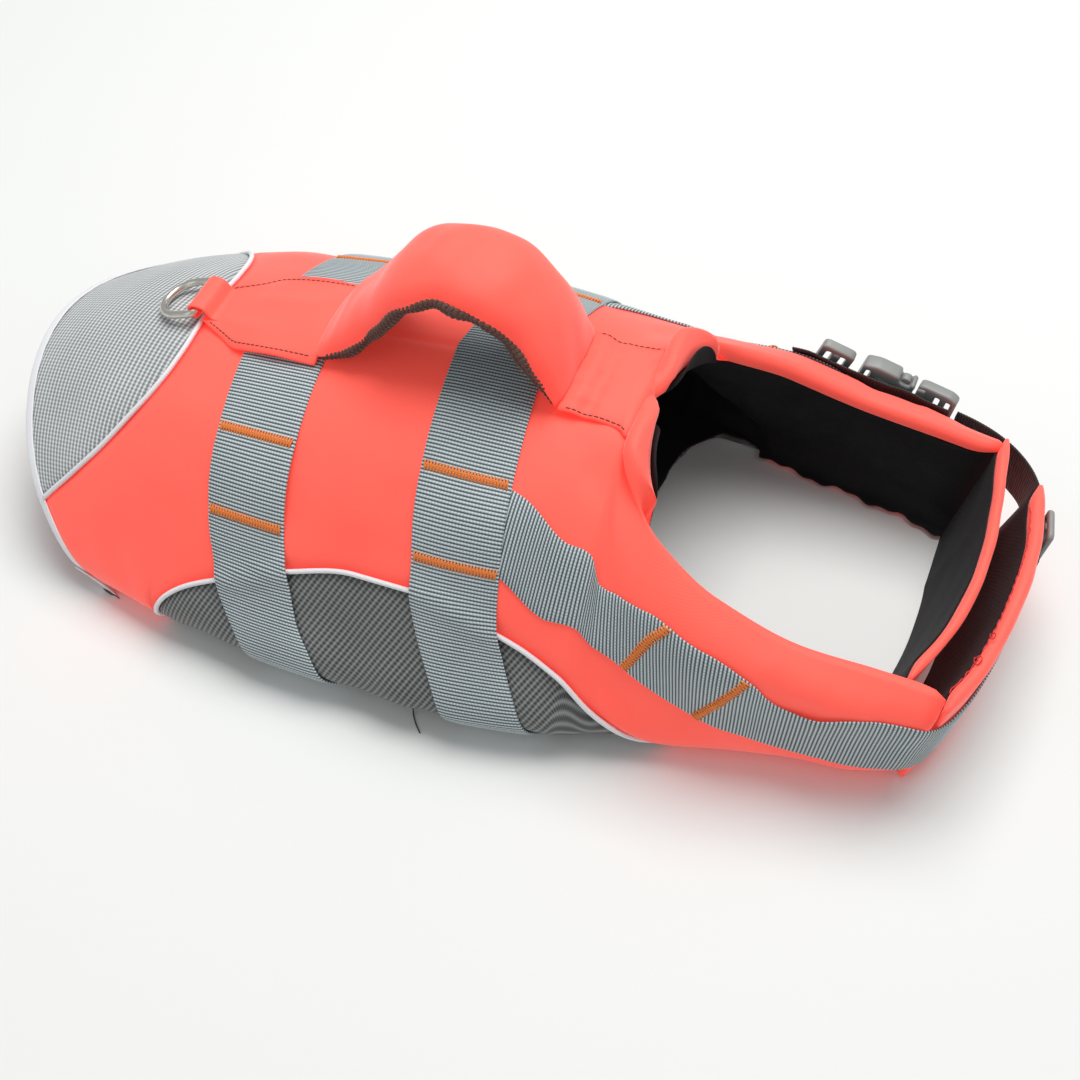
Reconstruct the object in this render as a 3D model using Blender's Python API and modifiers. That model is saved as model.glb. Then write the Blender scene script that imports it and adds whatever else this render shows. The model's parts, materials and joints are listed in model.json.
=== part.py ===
"""Dog life jacket, size M, standing by itself: foam panels, webbing straps, padded handle, chest flaps.

Frame: +X towards the neck, +Z up, the floor at Z 0, the jacket's mid-plane at Y 0 while it is drawn, then
everything is moved by SHIFT_X so that the origin is under the middle of its box. The dog's right side is -Y.
A place on the shell is a station (along the jacket, in mm) and a level (0 at the spine or the neck edge,
1 at the foot edge on the floor).
"""
import math
from collections import namedtuple

import bmesh
import bpy
import numpy as np
from mathutils import Matrix, Vector

MM = 0.001
SHIFT_X = 62.05              # moves the drawing so that the box is centred on the origin, mm
RIGHT = -1
LEFT = 1

# Driving sizes, mm
SEAM_GAP = 0.3
SPINE_GAP = 1.2             # the two halves meet in a seam whose edges stand up a little
FOAM = 9.0                  # back panels at full thickness
FOAM_EDGE = 3.0             # the same, where they are sewn flat
FOAM_ROLL = 16.0            # length over which the foam comes up to full thickness
LINING = 1.2
LINING_GAP = 1.5
LINING_SLACK = 6.5          # extra room where the sections fan out round the neck edge
NECK_FAN = 17.0             # middle of that fan, a station
NECK_FAN_REACH = 17.0
YOKE = 2.6
YOKE_GAP = 1.0              # along the jacket, where the seam runs aslant
BELLY = 2.2
WEBBING = 1.4
STRAP_HALF = 19.0           # 38 mm webbing
STRAP_LIFT = 1.8            # underside of a strap above the panel, clear of the piping
TOP_LIFT = 3.6              # underside of what lies on a strap
PIPING_HALF = 1.5
PIPING = 0.8
PIPING_LIFT = 0.6
TAIL_PIPING_LIFT = 0.9
TAB_LIFT = 0.9             # underside of the front tab above the panel
BINDING = 2.4
BINDING_END = 0.965
BINDING_GAP = 0.8
CLOSURE_HALF = 12.5         # 25 mm webbing
UNDER_STRAP_END = 26.0      # half the length that the belly buckles take
UNDER_STRAP_STEPS = (60.0, 92.0)
UNDER_STRAP_HIGH = WEBBING  # top of a strap that lies on the floor
FLAP_STRAP_LOW = 11.0       # the strap's lower edge on the flap, above the floor
TAPE_OUT = 0.9              # how far the hem tape stands out of the panel
TAPE_IN = -3.4

# Section rows: the top point, three points down the flank, the foot, and where the foot stands along X.
Row = namedtuple("Row", "station x_top y_top z_top y_shoulder z_shoulder y_side z_side "
                        "y_bulge z_bulge y_foot z_foot x_foot lean")
ROWS = (
    Row(-305, -308, 0, 67, 50, 57, 93, 35, 107, 15, 104, 0, -233, 2.0),
    Row(-255, -262, 0, 88, 54, 76, 98, 43, 114, 16, 108, 0, -213, 1.7),
    Row(-200, -205, 0, 102, 58, 89, 105, 43, 120, 17, 110, 3.2, -192, 1.4),
    Row(-140, -142, 0, 111, 61, 97, 111, 42, 126, 17, 113, 3.2, -138, 1.2),
    Row(-68, -68, 0, 119, 62, 105, 113, 42, 127, 17, 113, 3.2, -66, 1.0),
    Row(0, 0, 0, 122, 60, 103, 106, 44, 118, 17, 107, 3.2, -2, 1.0),
    Row(20, 3, 37, 118, 71, 92, 100, 46, 110, 16, 100, 3.2, 20, 1.0),
    Row(40, 24, 61, 100, 82, 84, 98, 46, 105, 15, 94, 1, 42, 1.0),
    Row(62, 55, 75, 85, 90, 76, 98, 44, 100, 14, 89, 0, 62, 1.0),
    Row(97, 97, 78, 73, 91, 66, 94, 40, 93, 13, 84, 0, 94, 1.0),
    Row(128, 128, 77, 70, 87, 63, 89, 37, 88, 13, 78, 0, 122, 1.0),
    Row(152, 154, 76, 67, 82, 62, 83, 35, 81, 13, 72, 0, 144, 1.0),
)
HEM = ROWS[0].station
FRONT = ROWS[-1].station
NECK = 0.0
SAMPLES = 41                # points kept along each section

# Seams and straps on the shell: (level, station) or (station, level)
Mark = namedtuple("Mark", "at value")
YOKE_SEAM = (Mark(0, -210), Mark(0.13, -211), Mark(0.22, -214), Mark(0.3, -220), Mark(0.38, -230),
             Mark(0.47, -245), Mark(0.57, -268), Mark(0.66, -293), Mark(0.70, HEM))
YOKE_END = 0.655
BELLY_START = -211.0
BELLY_END = 48.0
BELLY_SEAM = (Mark(BELLY_START, 1.0), Mark(-205, 0.90), Mark(-190, 0.81), Mark(-167, 0.735), Mark(-131, 0.65),
              Mark(-100, 0.61), Mark(-72, 0.61), Mark(-32, 0.67), Mark(2, 0.75), Mark(26, 0.83),
              Mark(38, 0.89), Mark(BELLY_END, 1.0))
# How far the belly panels turn in along the floor: (station, mm)
BELLY_LIP = (Mark(-196, 12), Mark(-182, 80), Mark(-16, 80), Mark(0, 60), Mark(7, 40), Mark(13, 25),
             Mark(19, 12), Mark(38, 12))
LIP_LENGTH = 170.0          # mm for one unit of level past the foot
REAR_STRAP = (Mark(0, -163), Mark(0.36, -159), Mark(0.57, -155), Mark(0.68, -149), Mark(0.77, -143),
              Mark(0.85, -133), Mark(0.95, -123), Mark(1.0, -119))
FRONT_STRAP = (Mark(0, -68), Mark(0.33, -61), Mark(0.53, -56), Mark(0.63, -53), Mark(0.74, -45),
               Mark(0.84, -35), Mark(0.95, -25), Mark(1.0, -21))
# Chest strap along the neck arm: its upper and lower edges.
Edge = namedtuple("Edge", "station upper lower")
CHEST_STRAP = (Edge(-36, 0.335, 0.535), Edge(-10, 0.41, 0.62), Edge(10, 0.37, 0.62), Edge(32, 0.27, 0.58),
               Edge(50, 0.20, 0.585), Edge(66, 0.20, 0.60), Edge(82, 0.25, 0.63), Edge(92, 0.34, 0.67),
               Edge(104, 0.35, 0.70), Edge(120, 0.27, 0.72), Edge(136, 0.23, 0.74), Edge(150, 0.22, 0.76))
CHEST_START = -34.0

# Chest flaps: the outer face seen from above at the top edge, which way the path turns, how far the lower
# edge stands inside the top one, and how much further it hangs in away from the sewn end
Spot = namedtuple("Spot", "x y")
Flap = namedtuple("Flap", "path turn lean hang foam")
OUTER_FLAP = Flap((Spot(159.4, -79.2), Spot(168, -62), Spot(175, -38), Spot(180, -8), Spot(182, 22), Spot(178, 57)),
                  1, 9.0, 0.0, 5.5)
INNER_FLAP = Flap((Spot(158.5, 81), Spot(160.5, 60), Spot(163, 25), Spot(161, -8), Spot(155, -38), Spot(142, -63)),
                  -1, 9.0, 8.0, 4.0)
FLAP_TOP = 67.0
FLAP_LENGTH = 155.0
FLAP_HANG_START = 0.3       # share of the flap over which it comes to hang in
FLAP_LINING_GAP = 0.4

# Handle: the underside of its near edge, seen from the side
Arch = namedtuple("Arch", "x z")
HANDLE = (Arch(-146.0, 114.2), Arch(-133, 119.5), Arch(-114, 139), Arch(-101, 156), Arch(-92, 161), Arch(-78, 162.5),
          Arch(-65, 160), Arch(-51, 148), Arch(-41, 135), Arch(-33, 123.2))
HANDLE_HALF = 25.0
HANDLE_PAD = 12.0
HANDLE_MESH = 1.2
REAR_TAB = (Mark(-146.4, 27), Mark(-164, 26.5), Mark(-185, 25), Mark(-197, 21), Mark(-206, 14))
FRONT_TAB = (Mark(-32.6, 25), Mark(-16, 25), Mark(-2, 26))

# D-ring
RING_BAR_X = -217.5
RING_BAR_RISE = 6.4         # bar above the yoke
RING_WIRE = 1.9             # radius
RING_HALF = 12.5
RING_REACH = 24.0
RING_DROOP = 20.0           # degrees below level
LOOP_HALF = 8.5
LOOP_WEB = 1.2
LOOP_BORE = 2.9

# Buckles, mm
BUCKLE_THICK = 8.5
CLOSURE_LEVEL = 0.30
CLOSURE_BUCKLE_WIDE = 32.0
BELLY_BUCKLE_WIDE = 44.0
SLIDER_LONG = 18.0
SLIDER_THICK = 4.0
SLIDER_CLEAR = 0.5
FLAP_SLIDER_SHARE = 0.87    # of the way along the outer flap
CLOSURE_SHARES = (0.80, FLAP_SLIDER_SHARE, 0.94, 0.995)
CLOSURE_Z = 46.0            # middle of the closure webbing above the floor
CLOSURE_BRIDGE = (Spot(172, 70), Spot(163, 81), Spot(152, 89), Spot(142, 93.5), Spot(132, 96.5))

Finish = namedtuple("Finish", "colour roughness metallic")
FINISHES = {
    "coral_fabric": Finish((1.0, 0.13, 0.08), 0.6, 0.0),
    "black_lining": Finish((0.01, 0.01, 0.012), 0.8, 0.0),
    "grey_ripstop": Finish((0.22, 0.23, 0.23), 0.55, 0.0),
    "white_tape": Finish((0.8, 0.8, 0.82), 0.6, 0.0),
    "grey_webbing": Finish((0.18, 0.21, 0.22), 0.5, 0.0),
    "dark_webbing": Finish((0.02, 0.02, 0.022), 0.7, 0.0),
    "grey_plastic": Finish((0.26, 0.27, 0.26), 0.4, 0.0),
    "nickel": Finish((0.66, 0.64, 0.58), 0.25, 1.0),
}


def scene_start():
    """Empty the scene and make the two collections."""
    for item in list(bpy.data.objects):
        bpy.data.objects.remove(item, do_unlink=True)
    parts = bpy.data.collections.new("dog_life_jacket")
    cutters = bpy.data.collections.new("cutters")
    bpy.context.scene.collection.children.link(parts)
    bpy.context.scene.collection.children.link(cutters)
    return parts, cutters


PARTS, CUTTERS = scene_start()


def material(name):
    """The Principled material of a finish, made once."""
    if name in bpy.data.materials:
        return bpy.data.materials[name]
    finish = FINISHES[name]
    made = bpy.data.materials.new(name)
    made.use_nodes = True
    shader = made.node_tree.nodes["Principled BSDF"]
    shader.inputs["Base Color"].default_value = (*finish.colour, 1.0)
    shader.inputs["Roughness"].default_value = finish.roughness
    shader.inputs["Metallic"].default_value = finish.metallic
    return made


def cubic(knots, values, slopes, at):
    """Cubic through (knots, values) with these slopes, read at each of `at`."""
    at = np.atleast_1d(at)
    index = np.clip(np.searchsorted(knots, at, side="right") - 1, 0, len(knots) - 2)
    span = (knots[index + 1] - knots[index])[:, None]
    u = (at - knots[index])[:, None] / span
    return ((2 * u**3 - 3 * u**2 + 1) * values[index] + (u**3 - 2 * u**2 + u) * span * slopes[index]
            + (3 * u**2 - 2 * u**3) * values[index + 1] + (u**3 - u**2) * span * slopes[index + 1])


def smooth_through(knots, values, at, level_start=False):
    """Smooth curve through the knots. With level_start its second coordinate starts level."""
    step = np.diff(knots)[:, None]
    rise = np.diff(values, axis=0) / step
    slopes = np.empty_like(values)
    slopes[1:-1] = (rise[:-1] * step[1:] + rise[1:] * step[:-1]) / (step[1:] + step[:-1])
    slopes[0] = 1.5 * rise[0] - 0.5 * slopes[1]
    slopes[-1] = 1.5 * rise[-1] - 0.5 * slopes[-2]
    if level_start:
        slopes[0] = (np.hypot(*rise[0]), 0.0)
    return cubic(knots, values, slopes, at)


def gentle_through(knots, values, at):
    """Smooth curve through the knots that never goes past them."""
    step = np.diff(knots)[:, None]
    rise = np.diff(values, axis=0) / step
    before, after = rise[:-1], rise[1:]
    weight_before = 2 * step[1:] + step[:-1]
    weight_after = step[1:] + 2 * step[:-1]
    same_way = before * after > 1e-12
    safe_before = np.where(same_way, before, 1.0)
    safe_after = np.where(same_way, after, 1.0)
    mean = (weight_before + weight_after) / (weight_before / safe_before + weight_after / safe_after)
    slopes = np.empty_like(values)
    slopes[1:-1] = np.where(same_way, mean, 0.0)
    slopes[0] = rise[0]
    slopes[-1] = rise[-1]
    return cubic(knots, values, slopes, at)


def read_marks(marks, at):
    """Value of a short table of marks at one place."""
    knots = np.array([mark.at for mark in marks], float)
    values = np.array([[mark.value] for mark in marks], float)
    if knots[0] > knots[-1]:
        knots, values = knots[::-1], values[::-1]
    return float(gentle_through(knots, values, np.clip(at, knots[0], knots[-1]))[0, 0])


def section(row):
    """One section's points from its top to its foot, at even steps of length, and that length."""
    flat = np.array([(row.y_top, row.z_top), (row.y_shoulder, row.z_shoulder), (row.y_side, row.z_side),
                     (row.y_bulge, row.z_bulge), (row.y_foot, row.z_foot)], float)
    chord = np.concatenate([[0.0], np.cumsum(np.hypot(*np.diff(flat, axis=0).T))])
    dense = smooth_through(chord, flat, np.linspace(0, chord[-1], 400), level_start=row.y_top == 0)
    length = np.concatenate([[0.0], np.cumsum(np.hypot(*np.diff(dense, axis=0).T))])
    level = np.linspace(0, 1, SAMPLES)
    y = np.interp(level, length / length[-1], dense[:, 0])
    z = np.interp(level, length / length[-1], dense[:, 1])
    x = row.x_top + (row.x_foot - row.x_top) * level**row.lean
    return np.stack([x, y, z], 1), length[-1]


STATIONS = np.array([row.station for row in ROWS], float)
SECTIONS = [section(row) for row in ROWS]
GRID = np.array([points for points, _ in SECTIONS]).reshape(len(ROWS), -1)
GIRTHS = np.array([[length] for _, length in SECTIONS])


def girth(station):
    """Length of the section from top to foot, mm."""
    return float(gentle_through(STATIONS, GIRTHS, station)[0, 0])


def half_shell(station, level):
    """A point of the left half of the shell's outer face."""
    rows = gentle_through(STATIONS, GRID, station).reshape(SAMPLES, 3)
    if level > 1:
        return rows[-1] - np.array([0.0, (level - 1) * LIP_LENGTH, 0.0])
    place = level * (SAMPLES - 1)
    low = min(int(place), SAMPLES - 2)
    return rows[low] * (low + 1 - place) + rows[low + 1] * (place - low)


def shell(station, level, side=LEFT, lift=0.0):
    """A point of the shell, moved out along its normal by lift."""
    station = float(np.clip(station, HEM, FRONT))
    point = half_shell(station, level)
    if lift:
        if level > 1:
            normal = np.array([0.0, 0.0, -1.0])
        else:
            along = half_shell(min(station + 1.0, FRONT), level) - half_shell(max(station - 1.0, HEM), level)
            down = half_shell(station, min(level + 0.01, 1.0)) - half_shell(station, max(level - 0.01, 0.0))
            if level < 0.02 and station < NECK:
                down = np.array([0.0, 1.0, 0.0])
            normal = np.cross(along, down)
            normal /= np.linalg.norm(normal)
            if level > 0.999:
                normal = normal + np.array([0.0, 0.0, -1.0])
                normal /= np.linalg.norm(normal)
        point = point + normal * lift
    return point * np.array([1.0, side, 1.0])


def frame_at(station, level, side, lift):
    """Place on the shell with X along the jacket, Y down the section and Z out of the shell."""
    here = shell(station, level, side, lift)
    ahead = shell(station + 2.0, level, side, lift) - shell(station - 2.0, level, side, lift)
    ahead /= np.linalg.norm(ahead)
    out = shell(station, level, side, lift + 1.0) - here
    out = out - ahead * np.dot(out, ahead)
    out /= np.linalg.norm(out)
    down = np.cross(out, ahead)
    turn = Matrix([ahead, down, out]).transposed().to_4x4()
    turn.translation = Vector((here + np.array([SHIFT_X, 0, 0])) * MM)
    return turn


def sheet(name, rows, thickness, finish, outward=False, weights=None):
    """A cloth piece: a grid of points made solid, towards or away from the grid's normals."""
    mesh = bpy.data.meshes.new(name)
    count = len(rows[0])
    points = [tuple((np.asarray(p) + np.array([SHIFT_X, 0, 0])) * MM) for row in rows for p in row]
    faces = []
    for i in range(len(rows) - 1):
        for j in range(count - 1):
            a = i * count + j
            faces.append((a, a + count, a + count + 1, a + 1))
    mesh.from_pydata(points, [], faces)
    mesh.validate()
    piece = bpy.data.objects.new(name, mesh)
    PARTS.objects.link(piece)
    mesh.materials.append(material(finish))
    shade = piece.modifiers.new("thickness", "SOLIDIFY")
    shade.thickness = thickness * MM
    shade.offset = 1.0 if outward else -1.0
    shade.use_even_offset = False
    if weights is not None:
        group = piece.vertex_groups.new(name="thickness")
        for index, weight in enumerate(w for row in weights for w in row):
            group.add([index], min(max(weight, 0.0), 1.0), "REPLACE")
        shade.vertex_group = group.name
    return piece


def facing(rows, side):
    """Turn the rows round where needed so that the grid's normals point out of the jacket."""
    return rows if side == LEFT else [row[::-1] for row in rows]


def levels_between(top, bottom, count):
    """Levels from top to bottom, closer together towards the foot."""
    steps = [1 - (1 - k / (count - 1))**1.35 for k in range(count)]
    return [top + (bottom - top) * step for step in steps]


def belly_level(station):
    """Level of the belly seam, 1 where the coral panel reaches the foot."""
    if station <= BELLY_START or station >= BELLY_END:
        return 1.0
    return read_marks(BELLY_SEAM, station)


def rear_station(level):
    """Where the back panel starts: the yoke seam, then the tail hem."""
    return read_marks(YOKE_SEAM, level) if level < YOKE_SEAM[-1].at else HEM


BELLY_STATIONS = [-205, -196, -182, -167, -150, -133, -116, -100, -84, -68, -50, -32, -16, 0, 7, 13, 19, 26, 38]
PANEL_STATIONS = BELLY_STATIONS[1:] + [BELLY_END, 62, 78, 94, 110, 125, 139, FRONT]
LINING_STATIONS = [-196, -182, -150, -116, -84, -50, -32, -16, 0, 7, 13, 19, 26, 38, BELLY_END,
                   62, 94, 125, FRONT]
TAIL_COLUMNS = 5
FOOT_REACH = HEM + (BELLY_START - HEM) * TAIL_COLUMNS / (TAIL_COLUMNS - 1)
PANEL_LEVELS = 11


def foam_at(station, level, low):
    """How thick the foam is, as a share of its full thickness: thin along seams and edges."""
    length = girth(station)
    reach = (station - rear_station(level), (low - level) * length + 6.0, FRONT - station + 8.0,
             level * length + 1.0)
    near = min(max(min(reach), 0.0) / FOAM_ROLL, 1.0)
    share = math.sin(near * math.pi / 2)**0.8
    return (FOAM_EDGE + (FOAM - FOAM_EDGE) * share) / FOAM


def panel_grid(stations, tail_columns, level_count, gap=SEAM_GAP, foot_gap=0.0, top_gap=0.0):
    """Stations and levels of the coral panel, column by column from the tail.

    The last tail column meets the foot where the belly seam starts.
    """
    columns = []
    for k in range(tail_columns):
        share = k / tail_columns
        column = []
        for level in levels_between(0, 1.0 - foot_gap, level_count):
            start = rear_station(level) + gap
            end = stations[0] + (FOOT_REACH - stations[0]) * level**3
            column.append((start + (end - start) * share, level))
        columns.append(column)
    for station in stations:
        low = belly_level(station)
        edge = low - (foot_gap if low == 1.0 else gap / girth(station))
        top = top_gap / girth(station) if station > NECK else 0.0
        columns.append([(station, level) for level in levels_between(top, edge, level_count)])
    return columns


def spine_gap(point, side):
    """Keep the two halves apart where they meet at the spine."""
    if abs(point[1]) < SPINE_GAP / 2:
        point[1] = side * SPINE_GAP / 2
    return point


def back_panel(side, name):
    """Coral foam panel from the yoke seam to the front end of the neck arm."""
    columns = panel_grid(PANEL_STATIONS, TAIL_COLUMNS, PANEL_LEVELS)
    rows = [[spine_gap(shell(s, t, side), side) for s, t in column] for column in columns]
    weights = [[foam_at(s, t, belly_level(s)) for s, t in column] for column in columns]
    if side == RIGHT:
        weights = [row[::-1] for row in weights]
    return sheet(name, facing(rows, side), FOAM, "coral_fabric", weights=weights)


def lining(side, name):
    """Black lining inside the coral panel."""
    columns = panel_grid(LINING_STATIONS, 3, PANEL_LEVELS, gap=9.0, foot_gap=0.05, top_gap=5.0)
    rows = []
    for column in columns[1:]:
        row = []
        for s, t in column:
            fan = math.exp(-((s - NECK_FAN) / NECK_FAN_REACH)**2)
            depth = foam_at(s, t, belly_level(s)) * FOAM + LINING_GAP + LINING_SLACK * fan
            point = shell(min(s, FRONT - 0.5), t, side, -depth)
            if point[1] * side < SPINE_GAP / 2:
                point[1] = side * SPINE_GAP / 2
            row.append(point)
        rows.append(row)
    return sheet(name, facing(rows, side), LINING, "black_lining")


def tail_yoke():
    """Grey ripstop over the rump, from the hem to the V-shaped seam, across both sides."""
    rows = []
    for signed in np.linspace(-YOKE_END, YOKE_END, 17):
        level = abs(signed)
        side = LEFT if signed >= 0 else RIGHT
        end = rear_station(level) - YOKE_GAP
        row = [shell(HEM + (end - HEM) * share, level, side) for share in np.linspace(0, 1, 7)]
        rows.append(row[::-1])
    return sheet("tail_yoke", rows, YOKE, "grey_ripstop")


def belly_panel(side, name):
    """Grey ripstop below the arched seam, turned in under the jacket."""
    rows = []
    for station in BELLY_STATIONS[1:]:
        top = belly_level(station) + SEAM_GAP / girth(station)
        lip = 1.0 + read_marks(BELLY_LIP, station) / LIP_LENGTH
        levels = levels_between(top, 1.0, 8) + [lip]
        rows.append([shell(station, level, side) for level in levels])
    return sheet(name, facing(rows, side), BELLY, "grey_ripstop")


def strip(name, frames, half, lift, thickness, finish):
    """A narrow band laid along frames of (left point maker): each frame gives its edge points."""
    rows = [[maker(lift, across) for across in (-half, 0.0, half)] for maker in frames]
    return sheet(name, rows, thickness, finish, outward=True)


def on_shell(marks, level, side):
    """A maker of points across a strap that crosses the shell at this level."""
    centre = read_marks(marks, min(level, 1.0))

    def maker(lift, across):
        return shell(centre + across, level, side, lift)
    return maker


def under_belly(marks, y):
    """A maker of points across a strap that lies on the floor under the belly."""
    centre = shell(read_marks(marks, 1.0), 1.0)[0]

    def maker(lift, across):
        return np.array([centre + across, y, UNDER_STRAP_HIGH])
    return maker


def body_strap(name, marks):
    """A strap from its belly buckle up one flank, over the spine, and down to the buckle again."""
    levels = [0.08, 0.16, 0.25, 0.34, 0.43, 0.52, 0.60, 0.67, 0.73, 0.78, 0.83, 0.87, 0.91, 0.95, 1.0, 1.05]
    places = (UNDER_STRAP_END, *UNDER_STRAP_STEPS)
    inner = [under_belly(marks, y) for y in places]
    left = [on_shell(marks, level, LEFT) for level in levels]
    right = [on_shell(marks, level, RIGHT) for level in levels]
    far = [under_belly(marks, -y) for y in places[::-1]]
    frames = inner + left[::-1] + [on_shell(marks, 0.0, LEFT)] + right + far
    return strip(name, frames, STRAP_HALF, STRAP_LIFT, WEBBING, "grey_webbing")


def flap_point(shape, share, height, depth):
    """A point of a chest flap's outer face, moved in by depth. Height runs 0 to 1, bottom to top."""
    spots = np.array([(spot.x, spot.y) for spot in shape.path], float)
    chord = np.concatenate([[0.0], np.cumsum(np.hypot(*np.diff(spots, axis=0).T))])
    at = np.array([share * chord[-1]])
    here = smooth_through(chord, spots, at)[0]
    ahead = smooth_through(chord, spots, np.clip(at + 1, 0, chord[-1]))[0]
    behind = smooth_through(chord, spots, np.clip(at - 1, 0, chord[-1]))[0]
    along = (ahead - behind) / np.linalg.norm(ahead - behind)
    outward = np.array([along[1], -along[0]]) * shape.turn
    inset = (shape.lean + shape.hang * min(share / FLAP_HANG_START, 1.0)) * (1 - height) + depth
    flat = here - outward * inset
    return np.array([flat[0], flat[1], FLAP_TOP * height])


def flap(name, shape, thickness, depth=0.0, finish="coral_fabric", trim=0.0):
    """A chest flap, or its lining when depth puts it behind the foam."""
    low = 1.0 / FLAP_TOP
    heights = np.linspace(1 - low, low, 5)
    rows = [[flap_point(shape, share, height, depth) for height in heights]
            for share in np.linspace(trim / FLAP_LENGTH, 1.0 - 1.0 / FLAP_LENGTH, 12)]
    if shape.turn > 0:
        rows = [row[::-1] for row in rows]
    return sheet(name, rows, thickness, finish)


def chest_strap(side, name):
    """Webbing from the front body strap along the neck arm. The right one goes on over the outer flap."""
    def between(edge):
        def maker(lift, across):
            level = edge.upper + (edge.lower - edge.upper) * (0.5 + across / 2)
            return shell(edge.station, level, side, lift)
        return maker
    stations = [CHEST_START, -22, -10, 0, 10, 21, 32, 41, 50, 58, 66, 74, 82, 92, 104, 120, 136, 150]
    knots = np.array([edge.station for edge in CHEST_STRAP], float)
    values = np.array([(edge.upper, edge.lower) for edge in CHEST_STRAP], float)
    frames = []
    for station in stations:
        upper, lower = gentle_through(knots, values, np.clip(float(station), knots[0], knots[-1]))[0]
        frames.append(between(Edge(station, upper, lower)))
    if side == RIGHT:
        frames += [on_flap(share) for share in (0.0, 0.05, 0.12, 0.24, 0.36, 0.50, 0.64, 0.76)]
        rows = [[maker(STRAP_LIFT, across) for across in (1, 0, -1)] for maker in frames]
    else:
        rows = [[maker(STRAP_LIFT, across) for across in (-1, 0, 1)] for maker in frames]
    return sheet(name, rows, WEBBING, "grey_webbing", outward=True)


def on_flap(share):
    """A maker of points across the strap on the outer flap."""
    def maker(lift, across):
        z = FLAP_STRAP_LOW + STRAP_HALF * (1 - across)
        return flap_point(OUTER_FLAP, share, z / FLAP_TOP, -lift)
    return maker


def piping(name, places):
    """A cord's casing along a seam: places are triples across it, moved out."""
    return sheet(name, places, PIPING, "white_tape", outward=True)


def tail_piping():
    """White piping over the V-shaped seam."""
    rows = []
    for signed in np.linspace(-YOKE_END, YOKE_END, 29):
        side = LEFT if signed >= 0 else RIGHT
        level = abs(signed)
        seam = rear_station(level)
        rows.append([shell(seam + across, level, side, TAIL_PIPING_LIFT) for across in (PIPING_HALF, -PIPING_HALF)])
    return piping("tail_piping", rows)


def belly_piping(side, name):
    """White piping over the arched seam."""
    rows = []
    for station in BELLY_STATIONS:
        seam = belly_level(station)
        half = PIPING_HALF / girth(station)
        rows.append([shell(station, seam - half, side, PIPING_LIFT), shell(station, seam + half, side, PIPING_LIFT)])
    return piping(name, facing(rows, side))


def hem_binding():
    """White tape capping the cut edge along the tail hem, foot to foot."""
    rows = []
    for signed in np.linspace(-BINDING_END, BINDING_END, 37):
        side = LEFT if signed >= 0 else RIGHT
        level = abs(signed)
        here = shell(HEM, level, side)
        back = here - shell(HEM + 8.0, level, side)
        back /= np.linalg.norm(back)
        outer = shell(HEM, level, side, TAPE_OUT) + back * BINDING_GAP
        inner = shell(HEM, level, side, TAPE_IN) + back * BINDING_GAP
        outer[2] = max(outer[2], 0.0)
        inner[2] = max(inner[2], 1.0)
        rows.append([outer, inner])
    return sheet("hem_binding", rows, BINDING, "white_tape", outward=True)


def handle_rows(rise, shrink):
    """Grid of the handle's underside, along the arch and across it."""
    knots = np.array([spot.x for spot in HANDLE], float)
    heights = np.array([[spot.z] for spot in HANDLE], float)
    rows = []
    for x in np.linspace(knots[0], knots[-1], 19):
        z = float(smooth_through(knots, heights, x)[0, 0])
        slope = float(smooth_through(knots, heights, min(x + 0.5, knots[-1]))[0, 0]
                      - smooth_through(knots, heights, max(x - 0.5, knots[0]))[0, 0])
        up = np.array([-slope, 0.0, 1.0]) / math.hypot(slope, 1.0)
        rows.append([np.array([x, y, z]) + up * rise for y in np.linspace(-1, 1, 7) * (HANDLE_HALF - shrink)])
    return rows


def handle_pad():
    """Padded grip: full in the middle, thin along its two edges and its ends."""
    rows = handle_rows(0.0, 0.0)
    weights = []
    for i in range(len(rows)):
        end = min(i, len(rows) - 1 - i)
        full = min(0.3 + 0.25 * end, 1.0)
        weights.append([full * (0.25 + 0.75 * math.sqrt(max(1 - y * y, 0.0))) for y in np.linspace(-1, 1, 7)])
    return sheet("handle_pad", rows, HANDLE_PAD, "coral_fabric", outward=True, weights=weights)


def handle_mesh():
    """Dark mesh along the underside of the grip."""
    rows = handle_rows(-0.3, 1.0)[1:-1]
    return sheet("handle_underside", rows, HANDLE_MESH, "dark_webbing", outward=False)


def tab(name, marks, lift):
    """A flat tab across the spine."""
    rows = []
    for mark in marks:
        row = []
        for across in np.linspace(-1, 1, 9):
            side = LEFT if across >= 0 else RIGHT
            level = abs(across) * mark.value / girth(mark.at)
            row.append(shell(mark.at, level, side, lift))
        rows.append(row)
    if marks[0].at > marks[-1].at:
        rows = rows[::-1]
    return sheet(name, rows, WEBBING, "coral_fabric", outward=True)


def ring_bar():
    """Centre of the D-ring's bar, mm."""
    station = RING_BAR_X + 4.0
    return np.array([RING_BAR_X, 0.0, shell(station, 0.0)[2] + RING_BAR_RISE])


def ring_loop():
    """Webbing folded round the bar of the D-ring, its upper leg lying on the rear tab."""
    bar = ring_bar()
    radius = LOOP_BORE
    path = []
    end = shell(-196.0, 0.0, lift=TOP_LIFT + WEBBING + 0.4)
    path.append((end[0], end[2]))
    path.append((bar[0] + 6.0, bar[2] + radius + 0.2))
    for k in range(9):
        angle = math.radians(90 + 22.5 * k)
        path.append((bar[0] + radius * math.cos(angle), bar[2] + radius * math.sin(angle)))
    rows = [[np.array([x, y, z]) for y in (LOOP_HALF, -LOOP_HALF)] for x, z in path]
    return sheet("ring_loop", rows, LOOP_WEB, "coral_fabric", outward=True)


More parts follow.
